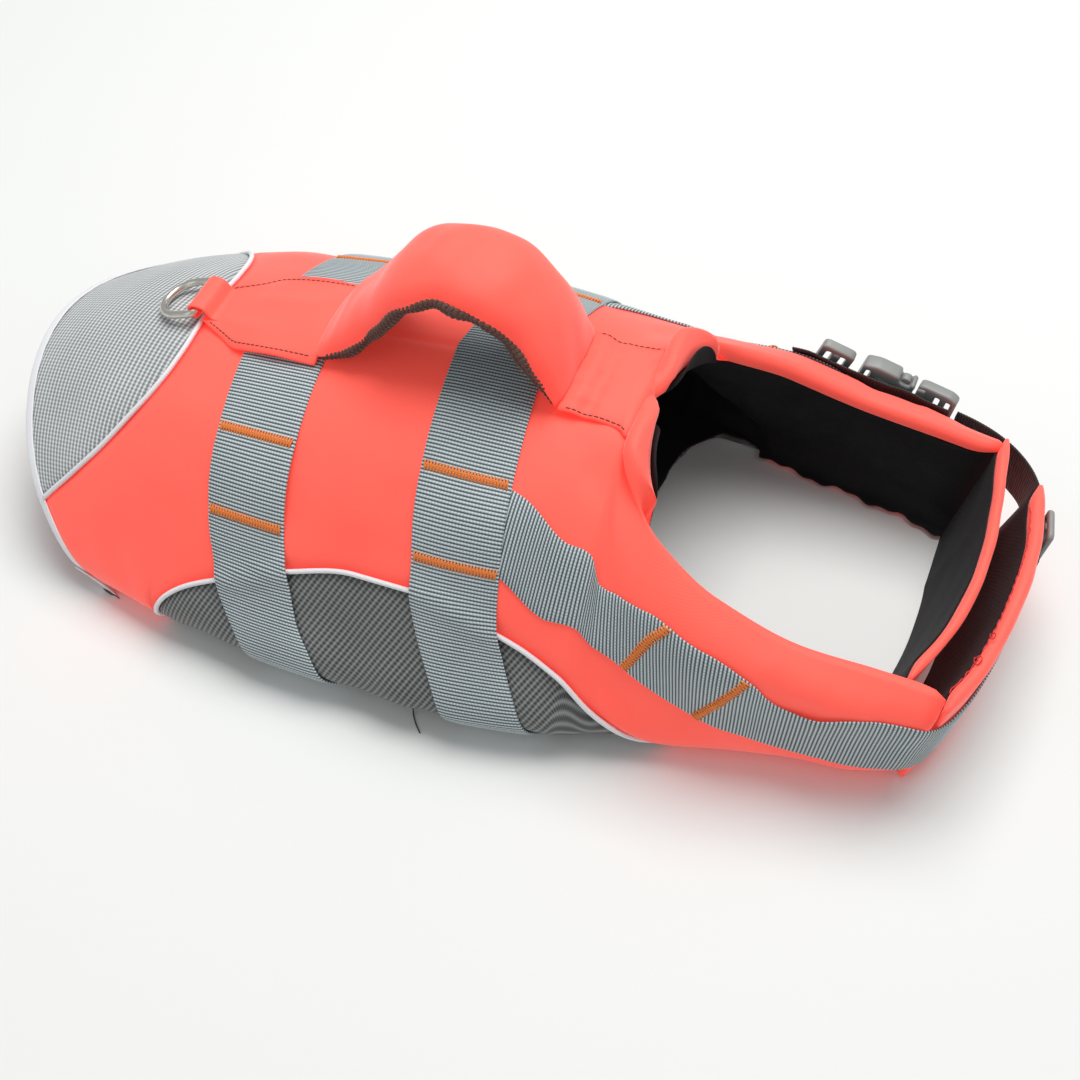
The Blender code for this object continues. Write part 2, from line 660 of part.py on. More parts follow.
def d_ring():
    """Nickel D-ring: a straight bar and a round bow, its object's origin on the bar's axis."""
    bar = ring_bar()
    curve = bpy.data.curves.new("d_ring", "CURVE")
    curve.dimensions = "3D"
    curve.bevel_depth = RING_WIRE * MM
    curve.bevel_resolution = 2
    corner = 4.0
    outline = []
    for y in (-RING_HALF + corner, RING_HALF - corner):
        outline.append((0.0, y))
    bow_start = RING_REACH - RING_HALF
    for k in range(1, 4):
        angle = math.radians(30 * k)
        outline.append((-corner + corner * math.cos(angle), RING_HALF - corner + corner * math.sin(angle)))
    for k in range(0, 13):
        angle = math.radians(15 * k)
        outline.append((-bow_start - RING_HALF * math.sin(angle), RING_HALF * math.cos(angle)))
    for k in range(1, 4):
        angle = math.radians(90 - 30 * k + 30)
        outline.append((-corner + corner * math.cos(angle), -RING_HALF + corner - corner * math.sin(angle)))
    spline = curve.splines.new("POLY")
    spline.points.add(len(outline) - 1)
    for point, (x, y) in zip(spline.points, outline):
        point.co = (x * MM, y * MM, 0.0, 1.0)
    spline.use_cyclic_u = True
    curve.materials.append(material("nickel"))
    piece = bpy.data.objects.new("d_ring", curve)
    PARTS.objects.link(piece)
    piece.location = Vector((bar + np.array([SHIFT_X, 0, 0])) * MM)
    piece.rotation_euler = (0.0, -math.radians(RING_DROOP), 0.0)
    return piece


def block(name, size, place, finish="grey_plastic", bevel=1.6):
    """A plastic fitting: a cube of this size with rounded edges, at a place (4 x 4 matrix)."""
    mesh = bpy.data.meshes.new(name)
    form = bmesh.new()
    bmesh.ops.create_cube(form, size=1.0)
    bmesh.ops.scale(form, vec=Vector(size) * MM, verts=form.verts)
    form.to_mesh(mesh)
    form.free()
    mesh.materials.append(material(finish))
    piece = bpy.data.objects.new(name, mesh)
    PARTS.objects.link(piece)
    piece.matrix_world = place
    rounding = piece.modifiers.new("rounding", "BEVEL")
    rounding.width = bevel * MM
    rounding.segments = 1
    return piece


def belly_buckle(label, marks):
    """Plain side-release buckle under the belly: the socket to the right, the plug to the left."""
    centre = shell(read_marks(marks, 1.0), 1.0)[0] + SHIFT_X
    half = UNDER_STRAP_END - SEAM_GAP
    wide = BELLY_BUCKLE_WIDE
    split = -4.0
    for name, low, high in ((label + "_socket", -half, split - SEAM_GAP / 2),
                            (label + "_plug", split + SEAM_GAP / 2, half)):
        place = Matrix.Translation(Vector((centre, (low + high) / 2, BUCKLE_THICK / 2)) * MM)
        block(name, (wide, high - low, BUCKLE_THICK), place)


def closure():
    """Chest closure on the left arm: dark webbing from the outer flap, plug, socket and slider."""
    plates = (("closure_plug", 119.5, 20.0, TOP_LIFT), ("closure_socket", 94.0, 27.0, TOP_LIFT),
              ("closure_slider", 69.5, 17.0, TOP_LIFT - 0.3))
    for name, station, length, lift in plates:
        wide = CLOSURE_BUCKLE_WIDE
        place = frame_at(station, CLOSURE_LEVEL, LEFT, lift + BUCKLE_THICK / 2)
        block(name, (length, wide, BUCKLE_THICK), place)


def closure_strap():
    """Dark webbing from the slider on the outer flap round the far corner to the plug."""
    rows = []
    for share in CLOSURE_SHARES:
        heights = [(CLOSURE_Z + across) / FLAP_TOP for across in (-CLOSURE_HALF, 0.0, CLOSURE_HALF)]
        rows.append([flap_point(OUTER_FLAP, share, height, -PIPING_LIFT) for height in heights])
    for spot in CLOSURE_BRIDGE:
        rows.append([np.array([spot.x, spot.y, CLOSURE_Z + across])
                     for across in (-CLOSURE_HALF, 0.0, CLOSURE_HALF)])
    return sheet("closure_strap", rows, WEBBING, "dark_webbing", outward=True)


def flap_slider():
    """Slider over the webbing at the far end of the outer flap."""
    share = FLAP_SLIDER_SHARE
    lift = PIPING_LIFT + WEBBING + SLIDER_THICK / 2 + SLIDER_CLEAR
    centre = flap_point(OUTER_FLAP, share, CLOSURE_Z / FLAP_TOP, -lift)
    ahead = flap_point(OUTER_FLAP, share + 0.03, CLOSURE_Z / FLAP_TOP, 0)
    behind = flap_point(OUTER_FLAP, share - 0.03, CLOSURE_Z / FLAP_TOP, 0)
    above = flap_point(OUTER_FLAP, share, 1.0, 0) - flap_point(OUTER_FLAP, share, 0.0, 0)
    along = (ahead - behind) / np.linalg.norm(ahead - behind)
    above /= np.linalg.norm(above)
    out = np.cross(along, above)
    turn = Matrix([along, above, out]).transposed().to_4x4()
    turn.translation = Vector((centre + np.array([SHIFT_X, 0, 0])) * MM)
    return block("flap_slider", (SLIDER_LONG, CLOSURE_BUCKLE_WIDE, SLIDER_THICK), turn, bevel=1.0)


def main():
    """Build every piece."""
    for side, word in ((RIGHT, "right"), (LEFT, "left")):
        back_panel(side, "back_panel_" + word)
        lining(side, "lining_" + word)
        belly_panel(side, "belly_panel_" + word)
        belly_piping(side, "belly_piping_" + word)
        chest_strap(side, "chest_strap_" + word)
    tail_yoke()
    tail_piping()
    hem_binding()
    body_strap("rear_strap", REAR_STRAP)
    body_strap("front_strap", FRONT_STRAP)
    for word, shape, trim in (("outer", OUTER_FLAP, 6.0), ("inner", INNER_FLAP, 14.0)):
        flap("chest_flap_" + word, shape, shape.foam)
        flap("flap_lining_" + word, shape, LINING, shape.foam + FLAP_LINING_GAP, "black_lining", trim)
    handle_pad()
    handle_mesh()
    tab("handle_rear_tab", REAR_TAB, TOP_LIFT)
    tab("handle_front_tab", FRONT_TAB, TAB_LIFT)
    ring_loop()
    d_ring()
    belly_buckle("rear_buckle", REAR_STRAP)
    belly_buckle("front_buckle", FRONT_STRAP)
    closure()
    closure_strap()
    flap_slider()


main()
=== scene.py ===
"""Looks of the dog life jacket: sewn foam panels, ribbed webbing, padded handle, buckles and D-ring.

Lengths are millimetres in the jacket's own drawing frame (+X to the neck, +Z up, floor at Z 0, mid-plane at
Y 0) until a mesh is made; `Piece` then moves them by DRAWING_SHIFT and turns them into metres. A place on
the jacket is a station (along it) and a level (0 at the spine or the neck edge, 1 at the foot edge).
"""

import json
import logging
import math
from dataclasses import dataclass, field
from enum import Enum
from typing import Callable, Optional, Sequence

import bmesh
import bpy
import numpy as np
from mathutils import Matrix, Vector

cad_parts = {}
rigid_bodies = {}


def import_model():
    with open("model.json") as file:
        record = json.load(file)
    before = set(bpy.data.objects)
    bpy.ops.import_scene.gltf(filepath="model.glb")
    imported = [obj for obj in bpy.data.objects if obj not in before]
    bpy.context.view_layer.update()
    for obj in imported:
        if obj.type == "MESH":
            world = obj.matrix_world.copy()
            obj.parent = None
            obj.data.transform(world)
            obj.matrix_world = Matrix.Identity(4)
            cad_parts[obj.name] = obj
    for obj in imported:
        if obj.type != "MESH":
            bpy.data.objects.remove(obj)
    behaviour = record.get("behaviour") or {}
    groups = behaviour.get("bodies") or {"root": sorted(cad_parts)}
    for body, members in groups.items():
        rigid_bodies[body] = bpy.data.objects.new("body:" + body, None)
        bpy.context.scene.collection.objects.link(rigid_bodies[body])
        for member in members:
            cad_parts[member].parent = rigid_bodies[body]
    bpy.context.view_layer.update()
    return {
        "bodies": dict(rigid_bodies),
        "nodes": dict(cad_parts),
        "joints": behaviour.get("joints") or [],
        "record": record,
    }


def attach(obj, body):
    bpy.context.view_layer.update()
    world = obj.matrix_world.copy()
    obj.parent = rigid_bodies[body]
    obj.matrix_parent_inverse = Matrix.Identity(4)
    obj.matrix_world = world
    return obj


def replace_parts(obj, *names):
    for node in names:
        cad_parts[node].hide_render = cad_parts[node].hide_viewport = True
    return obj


LOG = logging.getLogger("dog_life_jacket")
MM = 0.001
DRAWING_SHIFT = np.array([62.05, 0.0, 0.0])
OFF_AXIS = (0.31, 0.17, 0.93)  # any direction that no cord starts along
THREAD_SIDES = 6
CLOTH_MAP = "cloth"
EDGE_ATTRIBUTE = "seam_distance"
Array = np.ndarray
Socket = bpy.types.NodeSocket
MaterialNode = bpy.types.Node
NodeTree = bpy.types.NodeTree
Object = bpy.types.Object
Pair = tuple[float, float]
Triple = tuple[float, float, float]
Outline = Sequence[Pair]


class Side(Enum):
    """The dog's two sides, as the sign of Y."""

    RIGHT = -1
    LEFT = 1

    @property
    def word(self) -> str:
        """The side's name in a piece's name."""
        return self.name.lower()


class Body(Enum):
    """The CAD bodies that pieces ride on."""

    JACKET = "jacket"
    RING = "d_ring"


class Weave(Enum):
    """How a cloth is woven."""

    PLAIN = "plain_weave"
    RIPSTOP = "ripstop_grid"
    WEBBING = "webbing_ribs"


# Curves


def hermite(knots: Array, values: Array, slopes: Array, at: Array) -> Array:
    """Reads a cubic through knots with given slopes."""
    at = np.atleast_1d(np.asarray(at, float))
    index = np.clip(np.searchsorted(knots, at, side="right") - 1, 0, len(knots) - 2)
    span = (knots[index + 1] - knots[index])[:, None]
    u = (at - knots[index])[:, None] / span
    low = (2 * u**3 - 3 * u**2 + 1) * values[index] + (u**3 - 2 * u**2 + u) * span * slopes[index]
    high = (3 * u**2 - 2 * u**3) * values[index + 1] + (u**3 - u**2) * span * slopes[index + 1]
    return low + high


def smooth_through(knots: Array, values: Array, at: Array, level_start: bool = False) -> Array:
    """Reads a smooth curve through points."""
    step = np.diff(knots)[:, None]
    rise = np.diff(values, axis=0) / step
    slopes = np.empty_like(values)
    slopes[1:-1] = (rise[:-1] * step[1:] + rise[1:] * step[:-1]) / (step[1:] + step[:-1])
    slopes[0] = 1.5 * rise[0] - 0.5 * slopes[1]
    slopes[-1] = 1.5 * rise[-1] - 0.5 * slopes[-2]
    if level_start:
        slopes[0] = (np.hypot(*rise[0]), 0.0)
    return hermite(knots, values, slopes, at)


def gentle_through(knots: Array, values: Array, at: Array) -> Array:
    """Reads a smooth curve that never goes past its points.

    Args:
        knots: Rising places of the points.
        values: One row for each point.
        at: Places to read.

    Returns:
        One row for each place.
    """
    step = np.diff(knots)[:, None]
    rise = np.diff(values, axis=0) / step
    before, after = rise[:-1], rise[1:]
    weight_before = 2 * step[1:] + step[:-1]
    weight_after = step[1:] + 2 * step[:-1]
    same_way = before * after > 1e-12
    safe_before = np.where(same_way, before, 1.0)
    safe_after = np.where(same_way, after, 1.0)
    mean = (weight_before + weight_after) / (weight_before / safe_before + weight_after / safe_after)
    slopes = np.empty_like(values)
    slopes[1:-1] = np.where(same_way, mean, 0.0)
    slopes[0] = rise[0]
    slopes[-1] = rise[-1]
    return hermite(knots, values, slopes, at)


class Marks:
    """A short table of (place, value) pairs read as a smooth curve, held level past its ends."""

    def __init__(self, *pairs: Pair) -> None:
        """Keeps the pairs in rising order of place."""
        table = np.array(sorted(pairs), float)
        self.knots = table[:, 0]
        self.values = table[:, 1:]

    def __call__(self, at: Array) -> Array:
        """The values at these places, in the same array shape."""
        at = np.asarray(at, float)
        flat = np.clip(at.ravel(), self.knots[0], self.knots[-1])
        return gentle_through(self.knots, self.values, flat)[:, 0].reshape(at.shape)


def eased(count: int, ends: float = 0.4) -> Array:
    """Places from 0 to 1, closer together at both ends."""
    even = np.linspace(0.0, 1.0, count)
    return (1 - ends) * even + ends * (0.5 - 0.5 * np.cos(np.pi * even))


def bell(distance: Array, reach: float) -> Array:
    """A smooth hump, 1 at distance 0 and almost 0 past twice the reach."""
    return np.exp(-((distance / reach) ** 2))


def rise(share: Array) -> Array:
    """A soft rise from 0 to 1 as the share goes from 0 to 1, level past both."""
    return np.sin(np.clip(share, 0, 1) * np.pi / 2)


def switch(distance: Array, reach: float) -> Array:
    """A soft step from 0 to 1 as the distance passes 0."""
    return 1 / (1 + np.exp(-distance / reach))


def unit(vectors: Array) -> Array:
    """The vectors at length 1."""
    return vectors / np.maximum(np.linalg.norm(vectors, axis=-1, keepdims=True), 1e-9)


def grid_normals(points: Array) -> Array:
    """Normals of a grid of points, as the cross product of its first and second directions."""
    along = np.gradient(points, axis=0)
    across = np.gradient(points, axis=1)
    return unit(np.cross(along, across))


def lengths_along(points: Array) -> Array:
    """Distance of each point of a line from the line's start."""
    return np.concatenate([[0.0], np.cumsum(np.linalg.norm(np.diff(points, axis=0), axis=-1))])


def read_line(at: Array, lengths: Array, rows: Array) -> Array:
    """Rows of a table along a line, read at these distances."""
    return np.stack([np.interp(at, lengths, column) for column in rows.T], -1)


def sided(side: Side, *grids: Array) -> list[Array]:
    """Grids made for the left side, or their mirror images turned round so that they still face out."""
    if side is Side.LEFT:
        return list(grids)
    mirror = np.array([1.0, -1.0, 1.0])
    return [(grid * mirror if grid.ndim == 3 and grid.shape[-1] == 3 else grid)[:, ::-1] for grid in grids]


def relaxed(points: Array, mask: Array, rounds: int) -> Array:
    """Evens out a grid by moving each inner point towards the mean of its neighbours."""
    points = points.copy()
    share = mask[1:-1, 1:-1, None]
    for _ in range(rounds):
        mean = (points[:-2, 1:-1] + points[2:, 1:-1] + points[1:-1, :-2] + points[1:-1, 2:]) / 4
        points[1:-1, 1:-1] += (mean - points[1:-1, 1:-1]) * share
    return points


def ripple(u: Array, v: Array, size: float, seed: int, waves: int = 7) -> Array:
    """Soft uneven waves over a surface, about from -1 to 1."""
    picks = np.random.default_rng(seed)
    total = np.zeros(np.broadcast(u, v).shape)
    for k in range(waves):
        turn = picks.uniform(0, 2 * np.pi)
        length = size * picks.uniform(0.35, 1.0)
        phase = picks.uniform(0, 2 * np.pi)
        total += np.sin(2 * np.pi * (u * np.cos(turn) + v * np.sin(turn)) / length + phase) * (0.9**k)
    return total / math.sqrt(waves) * 0.8


# Form


@dataclass(frozen=True)
class Row:
    """One section of the jacket: its top, three points down the flank, the foot, and its slant in X."""

    station: float
    x_top: float
    y_top: float
    z_top: float
    y_shoulder: float
    z_shoulder: float
    y_side: float
    z_side: float
    y_bulge: float
    z_bulge: float
    y_foot: float
    z_foot: float
    x_foot: float
    lean: float


ROWS = (
    Row(-305, -308, 0, 67, 50, 57, 93, 35, 107, 15, 104, 0, -233, 2.0),
    Row(-255, -262, 0, 88, 54, 76, 98, 43, 114, 16, 108, 0, -213, 1.7),
    Row(-200, -205, 0, 102, 58, 89, 105, 43, 120, 17, 110, 3.2, -192, 1.4),
    Row(-140, -142, 0, 111, 61, 97, 111, 42, 126, 17, 113, 3.2, -138, 1.2),
    Row(-68, -68, 0, 119, 62, 105, 113, 42, 127, 17, 113, 3.2, -66, 1.0),
    Row(0, 0, 0, 122, 60, 103, 106, 44, 118, 17, 107, 3.2, -2, 1.0),
    Row(20, 3, 37, 118, 71, 92, 100, 46, 110, 16, 100, 3.2, 20, 1.0),
    Row(40, 24, 61, 100, 82, 84, 98, 46, 105, 15, 94, 1, 42, 1.0),
    Row(62, 55, 75, 85, 90, 76, 98, 44, 100, 14, 89, 0, 62, 1.0),
    Row(97, 97, 78, 73, 91, 66, 94, 40, 93, 13, 84, 0, 94, 1.0),
    Row(128, 128, 77, 70, 87, 63, 89, 37, 88, 13, 78, 0, 122, 1.0),
    Row(152, 154, 76, 67, 82, 62, 83, 35, 81, 13, 72, 0, 144, 1.0),
)
HEM = ROWS[0].station
FRONT = ROWS[-1].station
NECK = 0.0
BELLY_START = -211.0
BELLY_END = 48.0
HEM_SEAM_END = 0.70
LIP_LENGTH = 170.0


class Seams:
    """Where the seams and the webbing run on the jacket."""

    yoke = Marks((0, -210), (0.13, -211), (0.22, -214), (0.3, -220), (0.38, -230), (0.47, -245), (0.57, -268),
                 (0.66, -293), (HEM_SEAM_END, HEM))
    belly = Marks((BELLY_START, 1.0), (-205, 0.90), (-190, 0.81), (-167, 0.735), (-131, 0.65), (-100, 0.61),
                  (-72, 0.61), (-32, 0.67), (2, 0.75), (26, 0.83), (38, 0.89), (BELLY_END, 1.0))
    rear_strap = Marks((0, -163), (0.36, -159), (0.57, -155), (0.68, -149), (0.77, -143), (0.85, -133),
                       (0.95, -123), (1.0, -119))
    front_strap = Marks((0, -68), (0.33, -61), (0.53, -56), (0.63, -53), (0.74, -45), (0.84, -35),
                        (0.95, -25), (1.0, -21))

    @staticmethod
    def belly_level(station: Array) -> Array:
        """Level of the arched seam, 1 where the coral panel reaches the foot."""
        inside = (station > BELLY_START) & (station < BELLY_END)
        return np.where(inside, Seams.belly(station), 1.0)

    @staticmethod
    def rear_station(level: Array) -> Array:
        """Where the coral panel starts: the V-shaped seam, then the tail hem."""
        return np.where(level < HEM_SEAM_END, Seams.yoke(level), HEM)


class JacketForm:
    """The jacket's outer face as a dense table of points and normals, read at any station and level."""

    column_count = 306
    level_count = 161

    def __init__(self) -> None:
        """Builds the table and evens out the corner where the neck edge leaves the spine."""
        sections, lengths = zip(*(self._section(row) for row in ROWS))
        knots = np.array([row.station for row in ROWS], float)
        self.stations = np.linspace(HEM, FRONT, self.column_count)
        flat = np.array(sections).reshape(len(ROWS), -1)
        grid = gentle_through(knots, flat, self.stations).reshape(self.column_count, self.level_count, 3)
        self.girths = gentle_through(knots, np.array(lengths)[:, None], self.stations)[:, 0]
        level = np.linspace(0, 1, self.level_count)
        corner = bell(self.stations[:, None] - 20.0, 19.0) * bell(level[None, :], 0.17)
        self.grid = relaxed(grid, 0.9 * corner, 160)
        normals = grid_normals(self.grid)
        rear = self.stations <= NECK
        normals[rear, 0] = unit(normals[rear, 0] * np.array([1.0, 0.0, 1.0]))
        everywhere = np.full(normals.shape[:2], 0.5)
        self.normals = unit(relaxed(normals, np.maximum(corner, 0.2 * everywhere), 40))

    def _section(self, row: Row) -> tuple[Array, float]:
        """One section's points at even steps of length, and that length."""
        flat = np.array([(row.y_top, row.z_top), (row.y_shoulder, row.z_shoulder), (row.y_side, row.z_side),
                         (row.y_bulge, row.z_bulge), (row.y_foot, row.z_foot)], float)
        chord = lengths_along(flat)
        dense = smooth_through(chord, flat, np.linspace(0, chord[-1], 1600), level_start=row.y_top == 0)
        length = lengths_along(dense)
        level = np.linspace(0, 1, self.level_count)
        y = np.interp(level, length / length[-1], dense[:, 0])
        z = np.interp(level, length / length[-1], dense[:, 1])
        x = row.x_top + (row.x_foot - row.x_top) * level**row.lean
        return np.stack([x, y, z], 1), float(length[-1])

    def _read(self, table: Array, station: Array, level: Array) -> Array:
        """Reads a table between its columns and levels."""
        a = np.clip((station - HEM) / (FRONT - HEM), 0, 1) * (self.column_count - 1)
        b = np.clip(level, 0, 1) * (self.level_count - 1)
        i = np.minimum(a.astype(int), self.column_count - 2)
        j = np.minimum(b.astype(int), self.level_count - 2)
        u = (a - i)[..., None]
        v = (b - j)[..., None]
        near = table[i, j] * (1 - v) + table[i, j + 1] * v
        far = table[i + 1, j] * (1 - v) + table[i + 1, j + 1] * v
        return near * (1 - u) + far * u

    def girth(self, station: Array) -> Array:
        """Length of the section from top to foot, mm."""
        return np.interp(station, self.stations, self.girths)

    def at(self, station: Array, level: Array, lift: Array = 0.0, side: Side = Side.LEFT) -> Array:
        """Points of the jacket, moved out along the surface's normal."""
        station, level, lift = np.broadcast_arrays(*(np.asarray(x, float) for x in (station, level, lift)))
        points = self._read(self.grid, station, level)
        normals = self._read(self.normals, station, level)
        inward = np.maximum(level - 1.0, 0.0)
        points = points - inward[..., None] * np.array([0.0, LIP_LENGTH, 0.0])
        under = np.clip(inward * LIP_LENGTH / 4.0, 0, 1)[..., None]
        normals = unit(normals * (1 - under) + np.array([0.0, 0.0, -1.0]) * under)
        points = points + normals * lift[..., None]
        return points * np.array([1.0, side.value, 1.0])

    def frame(self, station: float, level: float, side: Side, lift: float) -> Matrix:
        """Place on the jacket with X along it, Y down the section and Z out of it, in metres."""
        here = self.at(station, level, lift, side)
        ahead = unit(self.at(station + 2.0, level, lift, side) - self.at(station - 2.0, level, lift, side))
        out = self.at(station, level, lift + 1.0, side) - here
        out = unit(out - ahead * np.dot(out, ahead))
        turn = Matrix([ahead, np.cross(out, ahead), out]).transposed().to_4x4()
        turn.translation = Vector((here + DRAWING_SHIFT) * MM)
        return turn


@dataclass(frozen=True)
class Crease:
    """A soft trough or ridge between two places of a panel, given as (station, level)."""

    start: Pair
    end: Pair
    width: float
    depth: float

    def relief(self, form: JacketForm, station: Array, level: Array) -> Array:
        """Height that the crease adds at each place, negative for a trough."""
        v = level * form.girth(station)
        ends = np.array([(s, t * float(form.girth(s))) for s, t in (self.start, self.end)])
        run = ends[1] - ends[0]
        length = np.hypot(*run)
        du, dv = station - ends[0, 0], v - ends[0, 1]
        along = (du * run[0] + dv * run[1]) / length**2
        away = (du * run[1] - dv * run[0]) / length
        away = away + self.width * 0.35 * np.sin(along * 4.0)
        fade = np.clip(along / 0.3, 0, 1) * np.clip((1 - along) / 0.3, 0, 1)
        return self.depth * bell(away, self.width) * fade * fade * (3 - 2 * fade)


# Meshes


class Piece:
    """Points, faces and cloth coordinates of one piece, gathered before its mesh is made."""

    def __init__(self, name: str) -> None:
        """Starts an empty piece."""
        self.name = name
        self.points: list[Array] = []
        self.faces: list[tuple[int, ...]] = []
        self.cloth: list[Array] = []
        self.edge: list[Array] = []
        self.count = 0

    def add(self, points: Array, faces: Sequence[tuple[int, ...]], cloth: Array,
            edge: Optional[Array] = None) -> None:
        """Adds points and the faces between them."""
        start = self.count
        self.points.append(np.asarray(points, float))
        self.faces.extend(tuple(int(i) + start for i in face) for face in faces)
        self.cloth.append(np.asarray(cloth, float))
        self.edge.append(np.full(len(points), 50.0) if edge is None else np.asarray(edge, float))
        self.count += len(points)

    def slab(self, outer: Array, inner: Array, cloth: Array, edge: Optional[Array] = None,
             round_edge: float = 1.0, rings: int = 4) -> "Piece":
        """Adds a closed slab between two grids of points, with rounded edges.

        Args:
            outer: Grid of the outer face, its cross product pointing out.
            inner: The same grid on the inner face.
            cloth: Cloth coordinates of the outer grid.
            edge: Distance from the nearest seam for the outer grid.
            round_edge: How full the rounding is, 1 for a half circle.
            rings: Rings of faces round the edge.

        Returns:
            This piece.
        """
        rows, columns = outer.shape[:2]
        number = np.arange(rows * columns).reshape(rows, columns)
        quads = np.stack([number[:-1, :-1], number[1:, :-1], number[1:, 1:], number[:-1, 1:]],
                         -1).reshape(-1, 4)
        under = quads[:, ::-1] + rows * columns
        rim = np.concatenate([number[:, 0], number[-1, 1:], number[-2::-1, -1], number[0, -2:0:-1]])
        near_row = np.clip(rim // columns, 1, rows - 2)
        near_column = np.clip(rim % columns, 1, columns - 2)
        inside = near_row * columns + near_column
        flat_outer, flat_inner = outer.reshape(-1, 3), inner.reshape(-1, 3)
        flat_cloth = cloth.reshape(-1, 2)
        middle = (flat_outer[rim] + flat_inner[rim]) / 2
        half = (flat_outer[rim] - flat_inner[rim]) / 2
        deep = np.linalg.norm(half, axis=1, keepdims=True)
        away = flat_outer[rim] - flat_outer[inside]
        away = unit(away - unit(half) * (away * unit(half)).sum(1, keepdims=True))
        cloth_away = unit(flat_cloth[rim] - flat_cloth[inside])
        angles = np.linspace(0, np.pi, rings + 1)[1:-1]
        loops = [middle + half * np.cos(a) + away * deep * round_edge * np.sin(a) for a in angles]
        loop_cloth = [flat_cloth[rim] + cloth_away * deep * a for a in angles]
        first_loop = 2 * rows * columns
        chain = [rim] + [first_loop + k * len(rim) + np.arange(len(rim)) for k in range(len(loops))]
        chain.append(rim + rows * columns)
        sides = [np.stack([np.roll(b, -1), np.roll(a, -1), a, b], -1) for a, b in zip(chain, chain[1:])]
        distance = np.full(rows * columns, 50.0) if edge is None else edge.ravel()
        self.add(np.concatenate([flat_outer, flat_inner, *loops]),
                 np.concatenate([quads, under, *sides]),
                 np.concatenate([flat_cloth, flat_cloth + 3.0, *loop_cloth]),
                 np.concatenate([distance, distance, *([distance[rim]] * len(loops))]))
        return self

    def tube(self, path: Array, radius: float | Array, sides: int = 8, closed: bool = False) -> "Piece":
        """Adds a round cord along a path.

        Args:
            path: Points of the middle line.
            radius: Radius, or one for each point.
            sides: Points round the cord.
            closed: Whether the path is a loop.

        Returns:
            This piece.
        """
        path = np.asarray(path, float)
        count = len(path)
        if closed:
            tangent = unit(np.roll(path, -1, 0) - np.roll(path, 1, 0))
        else:
            tangent = unit(np.gradient(path, axis=0))
        frames = [unit(np.cross(tangent[0], OFF_AXIS))]
        for k in range(1, count):
            frames.append(unit(frames[-1] - tangent[k] * np.dot(frames[-1], tangent[k])))
        lateral = np.array(frames)
        normal = np.cross(lateral, tangent)
        radii = np.broadcast_to(np.asarray(radius, float), (count,))[:, None, None]
        angle = np.linspace(0, 2 * np.pi, sides, endpoint=False)[None, :, None]
        ring = path[:, None] + radii * (lateral[:, None] * np.cos(angle) + normal[:, None] * np.sin(angle))
        number = np.arange(count * sides).reshape(count, sides)
        rows = np.concatenate([number, number[:1]]) if closed else number
        faces = np.stack([rows[:-1], np.roll(rows[:-1], -1, 1), np.roll(rows[1:], -1, 1), rows[1:]], -1)
        faces = list(faces.reshape(-1, 4))
        if not closed:
            faces += [tuple(number[0][::-1]), tuple(number[-1])]
        length = lengths_along(path)
        round_it = np.linspace(0, 2 * np.pi, sides, endpoint=False) * float(np.mean(radii))
        cloth = np.stack(np.meshgrid(length, round_it, indexing="ij"), -1).reshape(-1, 2)
        self.add(ring.reshape(-1, 3), faces, cloth)
        return self

    def make(self, finish: "Finish", body: Body = Body.JACKET) -> Object:
        """Makes the object, dresses it and lets it ride on its body.

        Args:
            finish: What the piece is made of.
            body: The CAD body it moves with.

        Returns:
            The new object.
        """
        name = self.name + "_sewn" if self.name in bpy.data.objects else self.name
        mesh = bpy.data.meshes.new(name)
        points = (np.concatenate(self.points) + DRAWING_SHIFT) * MM
        points[:, 2] = np.maximum(points[:, 2], 0.0)
        mesh.from_pydata(points.tolist(), [], self.faces)
        corner = np.empty(len(mesh.loops), np.int32)
        mesh.loops.foreach_get("vertex_index", corner)
        layer = mesh.uv_layers.new(name=CLOTH_MAP)
        layer.uv.foreach_set("vector", np.concatenate(self.cloth)[corner].astype(np.float32).ravel())
        seam = mesh.attributes.new(EDGE_ATTRIBUTE, "FLOAT", "POINT")
        seam.data.foreach_set("value", np.concatenate(self.edge).astype(np.float32))
        mesh.polygons.foreach_set("use_smooth", np.ones(len(mesh.polygons), bool))
        mesh.update()
        return dressed(bpy.data.objects.new(name, mesh), finish, body)


def dressed(piece: Object, finish: "Finish", body: Body = Body.JACKET) -> Object:
    """Links a piece, gives it its finish and lets it ride."""
    if not piece.users_collection:
        bpy.context.scene.collection.objects.link(piece)
    piece.data.materials.clear()
    piece.data.materials.append(finish.material())
    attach(piece, body.value)
    LOG.info("%s: %d faces, %s", piece.name, len(piece.data.polygons), finish.name)
    return piece


def run_lengths(grid: Array) -> Array:
    """Cloth coordinates of a grid: mean length along it, and length across each row from its middle."""
    along = np.linalg.norm(np.diff(grid, axis=0), axis=-1).mean(1)
    u = np.concatenate([[0.0], np.cumsum(along)])
    steps = np.linalg.norm(np.diff(grid, axis=1), axis=-1)
    v = np.concatenate([np.zeros((len(grid), 1)), np.cumsum(steps, axis=1)], 1)
    v = v - v[:, -1:] / 2
    return np.stack([np.broadcast_to(u[:, None], v.shape), v], -1)


# Finishes


